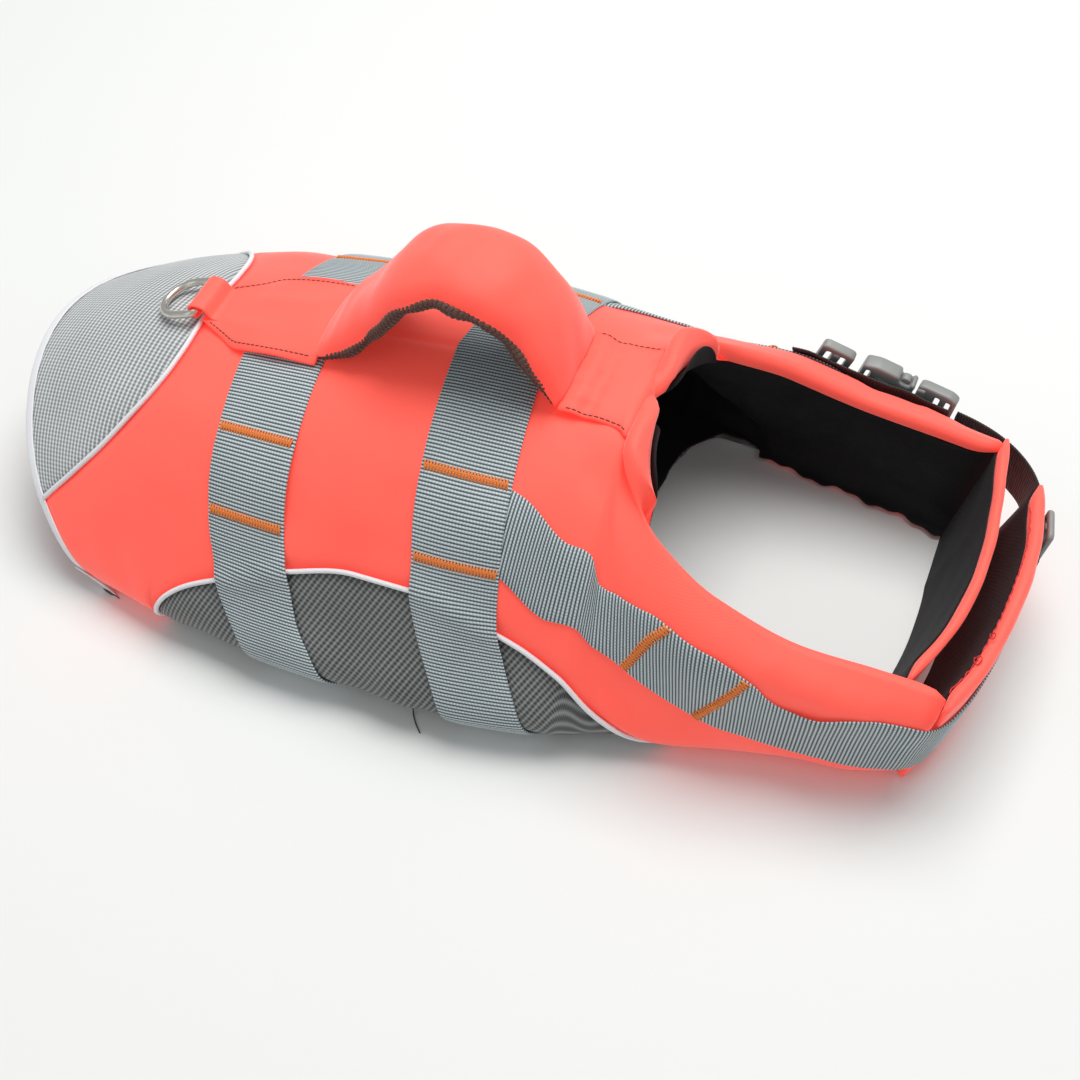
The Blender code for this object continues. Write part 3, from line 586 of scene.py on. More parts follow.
class Nodes:
    """Small helper that adds and links shader nodes in one tree."""

    def __init__(self, tree: NodeTree) -> None:
        """Works in this tree."""
        self.tree = tree

    def add(self, kind: str, **settings: object) -> MaterialNode:
        """Adds a node and sets its properties."""
        node = self.tree.nodes.new(kind)
        for name, value in settings.items():
            setattr(node, name, value)
        return node

    def link(self, source: Socket, target: Socket) -> None:
        """Links an output to an input."""
        self.tree.links.new(source, target)

    def math(self, operation: str, *values: object) -> Socket:
        """Adds a maths node."""
        node = self.add("ShaderNodeMath", operation=operation)
        for slot, value in zip(node.inputs, values):
            if isinstance(value, Socket):
                self.link(value, slot)
            else:
                slot.default_value = value
        return node.outputs[0]

    def times(self, *values: object) -> Socket:
        """The product of two values."""
        return self.math("MULTIPLY", *values)

    def hump(self, phase: Socket) -> Socket:
        """A wave from 0 to 1, 1 where the phase is 0."""
        return self.math("MULTIPLY_ADD", self.math("COSINE", phase), 0.5, 0.5)

    def blend(self, share: object, low: object, high: object) -> Socket:
        """Mixes two colours by a share."""
        node = self.add("ShaderNodeMix", data_type="RGBA")
        for slot, value in ((node.inputs[0], share), (node.inputs[6], low), (node.inputs[7], high)):
            if isinstance(value, Socket):
                self.link(value, slot)
            elif isinstance(value, tuple):
                slot.default_value = (*value[:3], 1.0)
            else:
                slot.default_value = value
        return node.outputs[2]

    def noise(self, vector: Socket, scale: float, detail: float = 3.0) -> Socket:
        """Adds a noise texture and gives its value."""
        node = self.add("ShaderNodeTexNoise")
        node.inputs["Scale"].default_value = scale
        node.inputs["Detail"].default_value = detail
        self.link(vector, node.inputs["Vector"])
        return node.outputs["Fac"]


class SharedGroups:
    """Node groups that more than one material uses, each built once."""

    @staticmethod
    def _start(name: str, inputs: Sequence[tuple[str, str, float]],
               outputs: Sequence[str]) -> Optional[tuple]:
        """Starts a group with these sockets, or gives None if it is there already."""
        if name in bpy.data.node_groups:
            return None
        group = bpy.data.node_groups.new(name, "ShaderNodeTree")
        for label, kind, value in inputs:
            socket = group.interface.new_socket(name=label, in_out="INPUT", socket_type=kind)
            if kind == "NodeSocketFloat":
                socket.default_value = value
        for label in outputs:
            group.interface.new_socket(name=label, in_out="OUTPUT", socket_type="NodeSocketFloat")
        nodes = Nodes(group)
        return group, nodes, nodes.add("NodeGroupInput"), nodes.add("NodeGroupOutput")

    @staticmethod
    def _turned(nodes: Nodes, source: MaterialNode) -> tuple[Socket, Socket]:
        """The cloth coordinates along and across the grain, turned by the group's Grain Angle."""
        parts = nodes.add("ShaderNodeSeparateXYZ")
        nodes.link(source.outputs["Cloth"], parts.inputs[0])
        cosine = nodes.math("COSINE", source.outputs["Grain Angle"])
        sine = nodes.math("SINE", source.outputs["Grain Angle"])
        x, y = parts.outputs[0], parts.outputs[1]
        along = nodes.math("ADD", nodes.times(x, cosine), nodes.times(y, sine))
        across = nodes.math("SUBTRACT", nodes.times(y, cosine), nodes.times(x, sine))
        return along, across

    @classmethod
    def _weave(cls, name: str, pitch: float, pattern: Callable[[Nodes, Socket, Socket, Socket], tuple],
               ) -> NodeTree:
        """Builds a weave's group: Height of the cloth and Gap between its threads.

        Args:
            name: The group's name.
            pitch: Distance between threads, mm.
            pattern: Gives height and gap from the places along and across the grain, and the pitch.

        Returns:
            The group.
        """
        sockets = [("Cloth", "NodeSocketVector", 0), ("Pitch", "NodeSocketFloat", pitch),
                   ("Grain Angle", "NodeSocketFloat", 0.0)]
        started = cls._start(name, sockets, ("Height", "Gap"))
        if started:
            _, nodes, source, sink = started
            along, across = cls._turned(nodes, source)
            height, gap = pattern(nodes, along, across, source.outputs["Pitch"])
            nodes.link(height, sink.inputs["Height"])
            nodes.link(gap, sink.inputs["Gap"])
        return bpy.data.node_groups[name]

    @classmethod
    def plain_weave(cls) -> NodeTree:
        """Threads over and under each other."""
        def pattern(nodes: Nodes, along: Socket, across: Socket, pitch: Socket) -> tuple[Socket, Socket]:
            """Over where both waves agree, a gap where they cross zero."""
            rate = nodes.math("DIVIDE", math.pi, pitch)
            u = nodes.math("SINE", nodes.times(along, rate))
            v = nodes.math("SINE", nodes.times(across, rate))
            over = nodes.times(u, v)
            return (nodes.math("MULTIPLY_ADD", over, 0.5, 0.5),
                    nodes.math("SUBTRACT", 1.0, nodes.math("ABSOLUTE", over)))

        return cls._weave("plain_weave", 0.6, pattern)

    @classmethod
    def ripstop_grid(cls) -> NodeTree:
        """Fine ribs crossed by thicker ones."""
        def pattern(nodes: Nodes, along: Socket, across: Socket, pitch: Socket) -> tuple[Socket, Socket]:
            """Ribs along the grain, and shallower and closer ones across it."""
            rate = nodes.math("DIVIDE", 2 * math.pi, pitch)
            u = nodes.hump(nodes.times(along, rate))
            v = nodes.hump(nodes.times(nodes.times(across, rate), 1.4))
            ribs = nodes.math("ADD", nodes.times(nodes.math("POWER", u, 1.5), 0.68),
                              nodes.times(v, 0.32))
            return ribs, nodes.math("SUBTRACT", 1.0, ribs)

        return cls._weave("ripstop_grid", 2.0, pattern)

    @classmethod
    def webbing_ribs(cls) -> NodeTree:
        """Cross ribs of webbing with its small thread floats."""
        def pattern(nodes: Nodes, along: Socket, across: Socket, pitch: Socket) -> tuple[Socket, Socket]:
            """A rounded rib at each pitch, broken up by floats that step sideways from rib to rib."""
            rate = nodes.math("DIVIDE", 2 * math.pi, pitch)
            phase = nodes.times(along, rate)
            rib = nodes.hump(phase)
            lane = nodes.times(nodes.times(across, rate), 1.15)
            stagger = nodes.times(nodes.math("SINE", nodes.times(phase, 0.5)), 1.2)
            floats = nodes.hump(nodes.math("ADD", lane, stagger))
            height = nodes.math("ADD", nodes.times(nodes.math("POWER", rib, 0.8), 0.66),
                                nodes.times(nodes.times(floats, rib), 0.34))
            return height, nodes.math("SUBTRACT", 1.0, height)

        return cls._weave("webbing_ribs", 1.7, pattern)

    @classmethod
    def handling(cls) -> NodeTree:
        """Uneven dye and light soiling over a surface, and the shade beside a seam."""
        sockets = [("Place", "NodeSocketVector", 0), ("Scale", "NodeSocketFloat", 30.0),
                   ("Seam Distance", "NodeSocketFloat", 50.0)]
        started = cls._start("handling", sockets, ("Mottle", "Seam Shade"))
        if started:
            _, nodes, source, sink = started
            cloud = nodes.add("ShaderNodeTexNoise")
            nodes.link(source.outputs["Place"], cloud.inputs["Vector"])
            nodes.link(source.outputs["Scale"], cloud.inputs["Scale"])
            cloud.inputs["Detail"].default_value = 4.0
            fall = nodes.math("DIVIDE", source.outputs["Seam Distance"], 3.0)
            shade = nodes.math("POWER", 2.718, nodes.times(nodes.times(fall, fall), -1.0))
            nodes.link(cloud.outputs["Fac"], sink.inputs["Mottle"])
            nodes.link(shade, sink.inputs["Seam Shade"])
        return bpy.data.node_groups["handling"]


CLOTH_MOTTLE, PLASTIC_MOTTLE, METAL_MOTTLE = 28.0, 90.0, 260.0  # scales of unevenness, per metre
THREAD_TWIST_ANGLE = 38.0
SHARP_ANGLE = math.radians(35)


@dataclass(frozen=True)
class Finish:
    """What a piece is made of: its colours, gloss and slot in the record."""

    name: str
    light: Triple
    dark: Triple
    roughness: float
    slot: str = ""

    def material(self) -> bpy.types.Material:
        """The material of this finish, made once."""
        found = bpy.data.materials.get(self.name)
        if found:
            return found
        made = bpy.data.materials.new(self.name)
        made.use_nodes = True
        nodes = Nodes(made.node_tree)
        shader = made.node_tree.nodes["Principled BSDF"]
        shader.inputs["Roughness"].default_value = self.roughness
        self._dress(nodes, shader)
        return made

    def _dress(self, nodes: Nodes, shader: MaterialNode) -> None:
        """Adds the nodes that this finish has."""
        raise NotImplementedError

    @staticmethod
    def _worn(nodes: Nodes, scale: float) -> tuple[MaterialNode, Socket]:
        """Adds the handling group at a scale, and gives the place it reads too."""
        place = nodes.add("ShaderNodeTexCoord").outputs["Object"]
        worn = nodes.add("ShaderNodeGroup", node_tree=SharedGroups.handling())
        nodes.link(place, worn.inputs["Place"])
        worn.inputs["Scale"].default_value = scale
        return worn, place

    @staticmethod
    def _woven(nodes: Nodes, group: NodeTree, pitch: float, grain: float) -> MaterialNode:
        """Adds a weave's group, read over the cloth coordinates."""
        cloth = nodes.add("ShaderNodeUVMap", uv_map=CLOTH_MAP)
        weave = nodes.add("ShaderNodeGroup", node_tree=group)
        nodes.link(cloth.outputs["UV"], weave.inputs["Cloth"])
        weave.inputs["Pitch"].default_value = pitch
        weave.inputs["Grain Angle"].default_value = math.radians(grain)
        return weave

    def _surface_height(self, nodes: Nodes, shader: MaterialNode, height: Socket, depth: float) -> None:
        """Feeds a height into the shader's normal, its depth in mm."""
        bump = nodes.add("ShaderNodeBump")
        bump.inputs["Strength"].default_value = 1.0
        bump.inputs["Distance"].default_value = depth * MM
        nodes.link(height, bump.inputs["Height"])
        nodes.link(bump.outputs["Normal"], shader.inputs["Normal"])


@dataclass(frozen=True)
class ClothFinish(Finish):
    """Woven cloth or webbing."""

    weave: Weave = Weave.PLAIN
    pitch: float = 0.7
    grain: float = 0.0
    relief: float = 0.08
    contrast: float = 0.5
    mottle: float = 0.12
    sheen: float = 0.15
    seam_shade: float = 0.25
    # Painted light: strength of the darker cloth colour emitted by the cloth.
    painted_glow: float = 0.0

    def _dress(self, nodes: Nodes, shader: MaterialNode) -> None:
        """Weave, uneven dye, seam shade and a painted glow."""
        weave = self._woven(nodes, getattr(SharedGroups, self.weave.value)(), self.pitch, self.grain)
        worn, place = self._worn(nodes, CLOTH_MOTTLE)
        seam = nodes.add("ShaderNodeAttribute", attribute_name=EDGE_ATTRIBUTE)
        nodes.link(seam.outputs["Fac"], worn.inputs["Seam Distance"])
        gap = nodes.times(weave.outputs["Gap"], self.contrast)
        uneven = nodes.times(nodes.math("SUBTRACT", worn.outputs["Mottle"], 0.5), 2 * self.mottle)
        shade = nodes.times(worn.outputs["Seam Shade"], self.seam_shade)
        share = nodes.math("ADD", nodes.math("ADD", gap, uneven), shade)
        share = nodes.math("MINIMUM", nodes.math("MAXIMUM", share, 0.0), 1.0)
        nodes.link(nodes.blend(share, self.light, self.dark), shader.inputs["Base Color"])
        rough = nodes.math("MULTIPLY_ADD", worn.outputs["Mottle"], 0.16, self.roughness - 0.08)
        nodes.link(rough, shader.inputs["Roughness"])
        shader.inputs["Sheen Weight"].default_value = self.sheen
        shader.inputs["Sheen Roughness"].default_value = 0.45
        shader.inputs["Specular IOR Level"].default_value = 0.35
        # Painted light: the darker cloth colour is emitted, so shaded parts stay bright and saturated.
        shader.inputs["Emission Color"].default_value = (*self.dark, 1.0)
        shader.inputs["Emission Strength"].default_value = self.painted_glow
        soft = nodes.noise(place, 60.0, 2.0)
        height = nodes.math("MULTIPLY_ADD", soft, 1.6, weave.outputs["Height"])
        self._surface_height(nodes, shader, height, self.relief)


@dataclass(frozen=True)
class ThreadFinish(Finish):
    """Sewing thread and overlocked edges: twisted fibres along a cord."""

    twist: float = 1.1

    def _dress(self, nodes: Nodes, shader: MaterialNode) -> None:
        """Twisted plies and uneven dye."""
        weave = self._woven(nodes, SharedGroups.plain_weave(), self.twist, THREAD_TWIST_ANGLE)
        share = nodes.times(weave.outputs["Gap"], 0.7)
        nodes.link(nodes.blend(share, self.light, self.dark), shader.inputs["Base Color"])
        shader.inputs["Sheen Weight"].default_value = 0.2
        self._surface_height(nodes, shader, weave.outputs["Height"], 0.12)


@dataclass(frozen=True)
class MouldedFinish(Finish):
    """Injection-moulded plastic with a fine grain."""

    def _dress(self, nodes: Nodes, shader: MaterialNode) -> None:
        """Fine grain and handling marks."""
        worn, place = self._worn(nodes, PLASTIC_MOTTLE)
        share = nodes.times(worn.outputs["Mottle"], 0.8)
        nodes.link(nodes.blend(share, self.light, self.dark), shader.inputs["Base Color"])
        rough = nodes.math("MULTIPLY_ADD", worn.outputs["Mottle"], 0.2, self.roughness - 0.1)
        nodes.link(rough, shader.inputs["Roughness"])
        self._surface_height(nodes, shader, nodes.noise(place, 2200.0, 2.0), 0.03)


@dataclass(frozen=True)
class MetalFinish(Finish):
    """Plated metal with fine scratches."""

    def _dress(self, nodes: Nodes, shader: MaterialNode) -> None:
        """Plating with dull spots."""
        worn, place = self._worn(nodes, METAL_MOTTLE)
        nodes.link(nodes.blend(worn.outputs["Mottle"], self.light, self.dark), shader.inputs["Base Color"])
        rough = nodes.math("MULTIPLY_ADD", worn.outputs["Mottle"], 0.25, self.roughness - 0.1)
        nodes.link(rough, shader.inputs["Roughness"])
        shader.inputs["Metallic"].default_value = 1.0
        self._surface_height(nodes, shader, nodes.noise(place, 900.0, 3.0), 0.02)


@dataclass(frozen=True)
class FloorFinish(Finish):
    """Matt white board under the jacket."""

    def _dress(self, nodes: Nodes, shader: MaterialNode) -> None:
        """A faint unevenness."""
        place = nodes.add("ShaderNodeTexCoord").outputs["Object"]
        nodes.link(nodes.blend(nodes.noise(place, 2.0, 2.0), self.light, self.dark),
                   shader.inputs["Base Color"])


# Painted light: the last value, 0.30, makes the coral glow so that its shaded parts stay saturated red.
CORAL = ClothFinish("coral_oxford", (1.0, 0.135, 0.098), (0.95, 0.055, 0.036), 0.6, "coral_fabric",
                    Weave.PLAIN,
                    0.75, 0.0, 0.05, 0.24, 0.12, 0.3, 0.45, 0.30)
LINING_CLOTH = ClothFinish("black_mesh_lining", (0.010, 0.010, 0.012), (0.003, 0.003, 0.004), 0.85,
                           "black_lining",
                           Weave.PLAIN, 1.3, 0.0, 0.08, 0.6, 0.2, 0.02, 0.3)
RIPSTOP = ClothFinish("grey_ripstop_cloth", (0.78, 0.81, 0.82), (0.20, 0.215, 0.22), 0.42, "grey_ripstop",
                      Weave.RIPSTOP, 2.6, -12.0, 0.2, 1.1, 0.12, 0.1, 0.3)
# Painted shade: the same grey ripstop as the yoke, darkened for the belly panels that curl under the jacket.
SHADED_RIPSTOP = ClothFinish("grey_ripstop_belly", (0.29, 0.30, 0.295), (0.045, 0.048, 0.047), 0.46,
                            "grey_ripstop",
                            Weave.RIPSTOP, 2.6, 28.0, 0.2, 1.1, 0.12, 0.1, 0.3)
WEBBING = ClothFinish("grey_strap_webbing", (0.70, 0.79, 0.82), (0.055, 0.072, 0.08), 0.5, "grey_webbing",
                      Weave.WEBBING, 1.7, 0.0, 0.22, 1.1, 0.10, 0.1, 0.25)
DARK_WEBBING = ClothFinish("dark_strap_webbing", (0.05, 0.05, 0.052), (0.008, 0.008, 0.009), 0.6,
                           "dark_webbing",
                           Weave.WEBBING, 1.5, 0.0, 0.2, 0.9, 0.1, 0.1, 0.2)
MESH_BACKING = ClothFinish("dark_grip_backing", (0.03, 0.024, 0.022), (0.006, 0.005, 0.005), 0.75,
                           "dark_webbing",
                           Weave.PLAIN, 1.6, 45.0, 0.2, 0.8, 0.2, 0.05, 0.2)
TAPE = ClothFinish("white_binding_tape", (0.86, 0.86, 0.89), (0.6, 0.6, 0.64), 0.6, "white_tape", Weave.PLAIN,
                   0.9, 30.0, 0.08, 0.4, 0.08, 0.1, 0.1)
BARTACK_THREAD = ThreadFinish("orange_thread", (0.93, 0.27, 0.035), (0.62, 0.12, 0.01), 0.5, "", 0.8)
RED_THREAD = ThreadFinish("red_thread", (0.75, 0.02, 0.015), (0.4, 0.01, 0.01), 0.5)
BLACK_THREAD = ThreadFinish("black_thread", (0.02, 0.02, 0.02), (0.005, 0.005, 0.005), 0.6)
BROWN_THREAD = ThreadFinish("brown_overlock_thread", (0.15, 0.062, 0.042), (0.035, 0.014, 0.009), 0.7,
                            "dark_webbing", 0.9)
PLASTIC = MouldedFinish("grey_acetal", (0.285, 0.30, 0.29), (0.21, 0.22, 0.215), 0.42, "grey_plastic")
NICKEL = MetalFinish("nickel_plate", (0.78, 0.76, 0.70), (0.6, 0.58, 0.52), 0.24, "nickel")
BOARD = FloorFinish("white_board", (0.80, 0.812, 0.803), (0.775, 0.787, 0.78), 0.7)


# Panels


@dataclass
class BackPanels:
    """Coral foam panels of both sides, from the V-shaped seam to the front of the neck arms."""

    form: JacketForm
    foam: float = 8.6
    sewn: float = 3.0
    roll: float = 15.0
    neck_roll: float = 7.5
    tail_columns: int = 30
    turn_columns: int = 16
    step: float = 2.4
    levels: int = 84
    turn_start: float = -196.0
    turn_end: float = -166.0
    spine_half_gap: float = 0.35
    creases: tuple[Crease, ...] = (
        Crease((-140, 0.30), (-132, 0.60), 9.0, -1.0),
        Crease((-118, 0.20), (-96, 0.56), 12.0, 1.1),
        Crease((-86, 0.34), (-82, 0.60), 8.0, -1.0),
        Crease((-190, 0.25), (-205, 0.62), 14.0, 1.0),
        Crease((-240, 0.66), (-225, 0.92), 12.0, -0.8),
        Crease((-20, 0.22), (14, 0.36), 9.0, -1.1),
        Crease((-30, 0.12), (30, 0.24), 10.0, 0.9),
        Crease((84, 0.14), (112, 0.36), 9.0, -1.7),
        Crease((112, 0.12), (136, 0.22), 9.0, 0.9),
        Crease((10, 0.66), (70, 0.86), 9.0, 0.9),
        Crease((60, 0.72), (130, 0.88), 8.0, -0.8),
    )

    def places(self) -> tuple[Array, Array]:
        """Stations and levels of the panel's grid, column by column from the tail."""
        share = eased(self.levels, 0.5)
        start = Seams.rear_station(share) + 0.2
        turn = self.turn_start + (BELLY_START - self.turn_start) * share**3
        columns = [start + (turn - start) * k for k in np.linspace(0, 1, self.tail_columns + 1)[:-1]]
        columns += [turn + (self.turn_end - turn) * k for k in np.linspace(0, 1, self.turn_columns + 1)[:-1]]
        count = int((FRONT - self.turn_end) / self.step)
        columns += [np.full(self.levels, s) for s in np.linspace(self.turn_end, FRONT, count)]
        station = np.array(columns)
        level = share[None, :] * Seams.belly_level(station)
        return station, level

    def distances(self, station: Array, level: Array) -> dict[str, Array]:
        """Distance of each place from the panel's edges, mm."""
        girth = self.form.girth(station)
        return {
            "tail": station - Seams.rear_station(level),
            "belly": (Seams.belly_level(station) - level) * girth,
            "top": level * girth,
            "front": FRONT - station,
        }

    def relief(self, station: Array, level: Array) -> Array:
        """Height of the foam's surface over the plain form: seams pull in, creases and soft waves."""
        away = self.distances(station, level)
        sewn_low = np.where(Seams.belly_level(station) < 0.999, 1.0, 0.2)
        height = -1.4 * bell(away["tail"], 4.5) - 1.5 * sewn_low * bell(away["belly"], 4.5)
        height -= np.where(station < NECK, 1.0, 0.0) * bell(away["top"], 2.5)
        for strap in (Seams.rear_strap, Seams.front_strap):
            height -= 0.9 * bell(station - strap(level), 15.0)
        for crease in self.creases:
            height += crease.relief(self.form, station, level)
        height += 0.45 * ripple(station, level * self.form.girth(station), 70.0, 4)
        return height

    def thickness(self, station: Array, level: Array) -> Array:
        """Foam thickness: thin where it is sewn flat, full elsewhere, and rolled at the neck edge."""
        away = self.distances(station, level)
        foot = np.where(Seams.belly_level(station) < 0.999, 4.0, 0.0)
        reach = np.minimum(np.minimum(away["tail"], away["belly"] + foot), away["front"] + 3.0)
        full = rise(reach / self.roll) ** 0.8
        return self.sewn + (self.foam - self.sewn) * full

    def build(self, side: Side) -> Object:
        """Builds one side's panel."""
        station, level = self.places()
        outer = self.form.at(station, level, self.relief(station, level))
        depth = self.thickness(station, level)
        inner = self.form.at(station, level, -depth)
        for grid in (outer, inner):
            rear = station[:, 0] <= NECK
            grid[rear, 0, 1] = self.spine_half_gap
        away = self.distances(station, level)
        edge = np.minimum(np.minimum(away["tail"], away["belly"]), away["front"])
        cloth = np.stack([station, level * self.form.girth(station)], -1)
        made = Piece("back_panel_" + side.word).slab(*sided(side, outer, inner, cloth, edge),
                                                     rings=8).make(CORAL)
        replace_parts(made, "back_panel_" + side.word)
        return made


@dataclass
class Linings:
    """Black lining of both sides: down the inside of the foam and in along the floor under the belly."""

    form: JacketForm
    panels: BackPanels
    cloth: float = 1.0
    belly_depth: float = 2.9
    start: float = -198.0
    columns: int = 150
    levels: int = 110
    floor_reach: float = 100.0
    creases: tuple[Crease, ...] = (
        Crease((60, 0.30), (74, 0.92), 5.0, 1.6),
        Crease((88, 0.16), (80, 0.70), 4.0, -1.3),
        Crease((104, 0.34), (118, 0.95), 5.0, 1.5),
        Crease((128, 0.10), (124, 0.62), 4.0, -1.2),
        Crease((30, 0.25), (48, 0.90), 6.0, 1.5),
        Crease((140, 0.30), (138, 0.96), 4.0, 1.2),
    )

    def lowest(self, station: Array) -> Array:
        """Level at which the lining ends: at the foot on the arms, in along the floor under the belly."""
        inward = Marks((-198, self.floor_reach), (-4, self.floor_reach), (1, 70), (4, 42), (10, 24), (22, 8),
                       (38, 3.5), (150, 3.5))
        wavy = 1.2 * np.sin(station / 5.3) + 0.8 * np.sin(station / 2.1 + 1.0)
        return 1.0 + (inward(station) + np.where(station > 2, wavy, 0.0)) / LIP_LENGTH

    def build(self, side: Side) -> Object:
        """Builds one side's lining."""
        station = np.concatenate([np.linspace(self.start, -14, 60), np.linspace(-12, FRONT + 3.2,
                                                                                self.columns)])
        share = eased(self.levels, 0.3)
        top = (0.5 + 2.3 * switch(station + 6.0, 2.0)) / self.form.girth(station)
        level = top[:, None] + (self.lowest(station) - top)[:, None] * share
        station = np.broadcast_to(station[:, None], level.shape)
        depth = self.panels.thickness(np.minimum(station, FRONT), np.minimum(level, 1.0))
        low = Seams.belly_level(station)
        below = switch(level - low, 1 / 60.0)
        depth = np.where(low < 0.999, depth * (1 - below) + self.belly_depth * below, depth) + 0.3
        for crease in self.creases:
            depth = depth + crease.relief(self.form, station, level)
        depth = depth + 0.5 * (1 + ripple(station, level * 160, 38.0, 11))
        depth = depth + 1.2 * bell(station - 14.0, 16.0) * bell(level, 0.12)
        outer = self.form.at(station, level, -depth)
        beyond = np.maximum(level - 1.0, 0.0)
        on_floor = self.form.at(station, np.minimum(level, 1.0), -depth)
        on_floor = on_floor - beyond[..., None] * np.array([0.0, LIP_LENGTH, 0.0])
        outer = np.where((station > BELLY_END - 8.0)[..., None], on_floor, outer)
        outer[..., 0] += np.maximum(station - FRONT, 0.0)
        outer = relaxed(outer, np.full(level.shape, 0.5), 12)
        outer[..., 1] = np.maximum(outer[..., 1], 0.3)
        outer[..., 2] = np.maximum(outer[..., 2], 1.2)
        inner = outer - grid_normals(outer) * self.cloth
        cloth = np.stack([station, level * self.form.girth(station)], -1)
        made = Piece("lining_" + side.word).slab(*sided(side, outer, inner, cloth)).make(LINING_CLOTH)
        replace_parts(made, "lining_" + side.word)
        return made


@dataclass
class TailYoke:
    """Grey ripstop over the rump, from the hem to the V-shaped seam, and its white piping."""

    form: JacketForm
    end: float = 0.685
    thickness: float = 2.8
    piping: float = 1.25

    def build(self) -> None:
        """Builds the yoke and the cord along its seam."""
        signed = np.linspace(-self.end, self.end, 181)
        level = np.abs(signed)
        seam = Seams.rear_station(level) - 0.2
        share = eased(70, 0.4)
        station = HEM + (seam - HEM)[:, None] * share[None, ::-1]
        level = np.broadcast_to(level[:, None], station.shape)
        girth = self.form.girth(station)
        relief = -1.2 * bell(seam[:, None] - station, 4.0) - 0.5 * bell(station - HEM, 4.0)
        relief = relief + 0.5 * ripple(station, signed[:, None] * 160.0, 90.0, 21)
        outer = self.form.at(station, level, relief)
        inner = self.form.at(station, level, -self.thickness)
        flip = np.where(signed < 0, -1.0, 1.0)[:, None]
        for grid in (outer, inner):
            grid[..., 1] *= flip
        cloth = np.stack([station, signed[:, None] * girth], -1)
        edge = np.minimum(seam[:, None] - station, station - HEM)
        made = Piece("tail_yoke").slab(outer, inner, cloth, edge).make(RIPSTOP)
        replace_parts(made, "tail_yoke")
        path = self.form.at(Seams.rear_station(np.abs(signed)), np.abs(signed), 0.1)
        path[:, 1] *= np.where(signed < 0, -1.0, 1.0)
        cord = Piece("tail_piping").tube(path, self.piping, 10).make(TAPE)
        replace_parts(cord, "tail_piping")


@dataclass
class BellyPanels:
    """Grey ripstop below the arched seams, turned in under the jacket and darkened with painted shade, and
    the piping of those seams.
    """

    form: JacketForm
    thickness: float = 1.8
    piping: float = 1.2
    floor_reach: float = 99.0
    creases: tuple[Crease, ...] = (
        Crease((-150, 0.72), (-120, 0.95), 7.0, 1.4),
        Crease((-178, 0.84), (-150, 0.98), 6.0, -1.2),
        Crease((-104, 0.66), (-84, 0.94), 8.0, -1.5),
        Crease((-88, 0.68), (-62, 0.96), 6.0, 1.5),
        Crease((-20, 0.74), (4, 0.97), 6.0, 1.6),
        Crease((-8, 0.76), (20, 0.99), 5.0, -1.3),
        Crease((-130, 0.80), (-70, 0.86), 7.0, 0.9),
    )

    def lowest(self, station: Array) -> Array:
        """Level at which the panel ends, in along the floor."""
        inward = Marks((-198, 20), (-185, self.floor_reach), (-8, self.floor_reach), (0, 60), (8, 25), (20,
                                                                                                        8),
                       (44, 2))
        return 1.0 + inward(station) / LIP_LENGTH

    def build(self, side: Side) -> None:
        """Builds one side's panel and its piping."""
        ends = (BELLY_START + 1.5, BELLY_END - 1.5)
        station = ends[0] + (ends[1] - ends[0]) * eased(150, 0.3)
        top = Seams.belly_level(station) + 0.2 / self.form.girth(station)
        share = eased(74, 0.2)
        level = top[:, None] + (self.lowest(station) - top)[:, None] * share
        station = np.broadcast_to(station[:, None], level.shape)
        seam_distance = (level - top[:, None]) * self.form.girth(station)
        relief = -1.2 * bell(seam_distance, 4.0)
        for crease in self.creases:
            relief = relief + crease.relief(self.form, station, level)
        relief = relief + 0.6 * ripple(station, level * 170, 60.0, 31) * (level < 1)
        for strap in (Seams.rear_strap, Seams.front_strap):
            relief = relief - 1.6 * bell(station - strap(np.minimum(level, 1.0)), 15.0) * (level < 1)
        outer = self.form.at(station, level, relief)
        outer = relaxed(outer, np.full(level.shape, 0.4), 6)
        outer[..., 2] = np.maximum(outer[..., 2], np.where(level > 1.0, 2.9, 0.15))
        inner = outer - grid_normals(outer) * self.thickness
        cloth = np.stack([station, level * self.form.girth(station)], -1)
        piece = Piece("belly_panel_" + side.word).slab(*sided(side, outer, inner, cloth, seam_distance))
        # The darker ripstop here is painted shade.
        made = piece.make(SHADED_RIPSTOP)
        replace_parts(made, "belly_panel_" + side.word)
        along = np.linspace(BELLY_START, BELLY_END - 2.0, 200)
        path = self.form.at(along, Seams.belly_level(along), 0.1, side)
        path[:, 2] = np.maximum(path[:, 2], self.piping)
        cord = Piece("belly_piping_" + side.word).tube(path, self.piping, 10).make(TAPE)
        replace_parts(cord, "belly_piping_" + side.word)


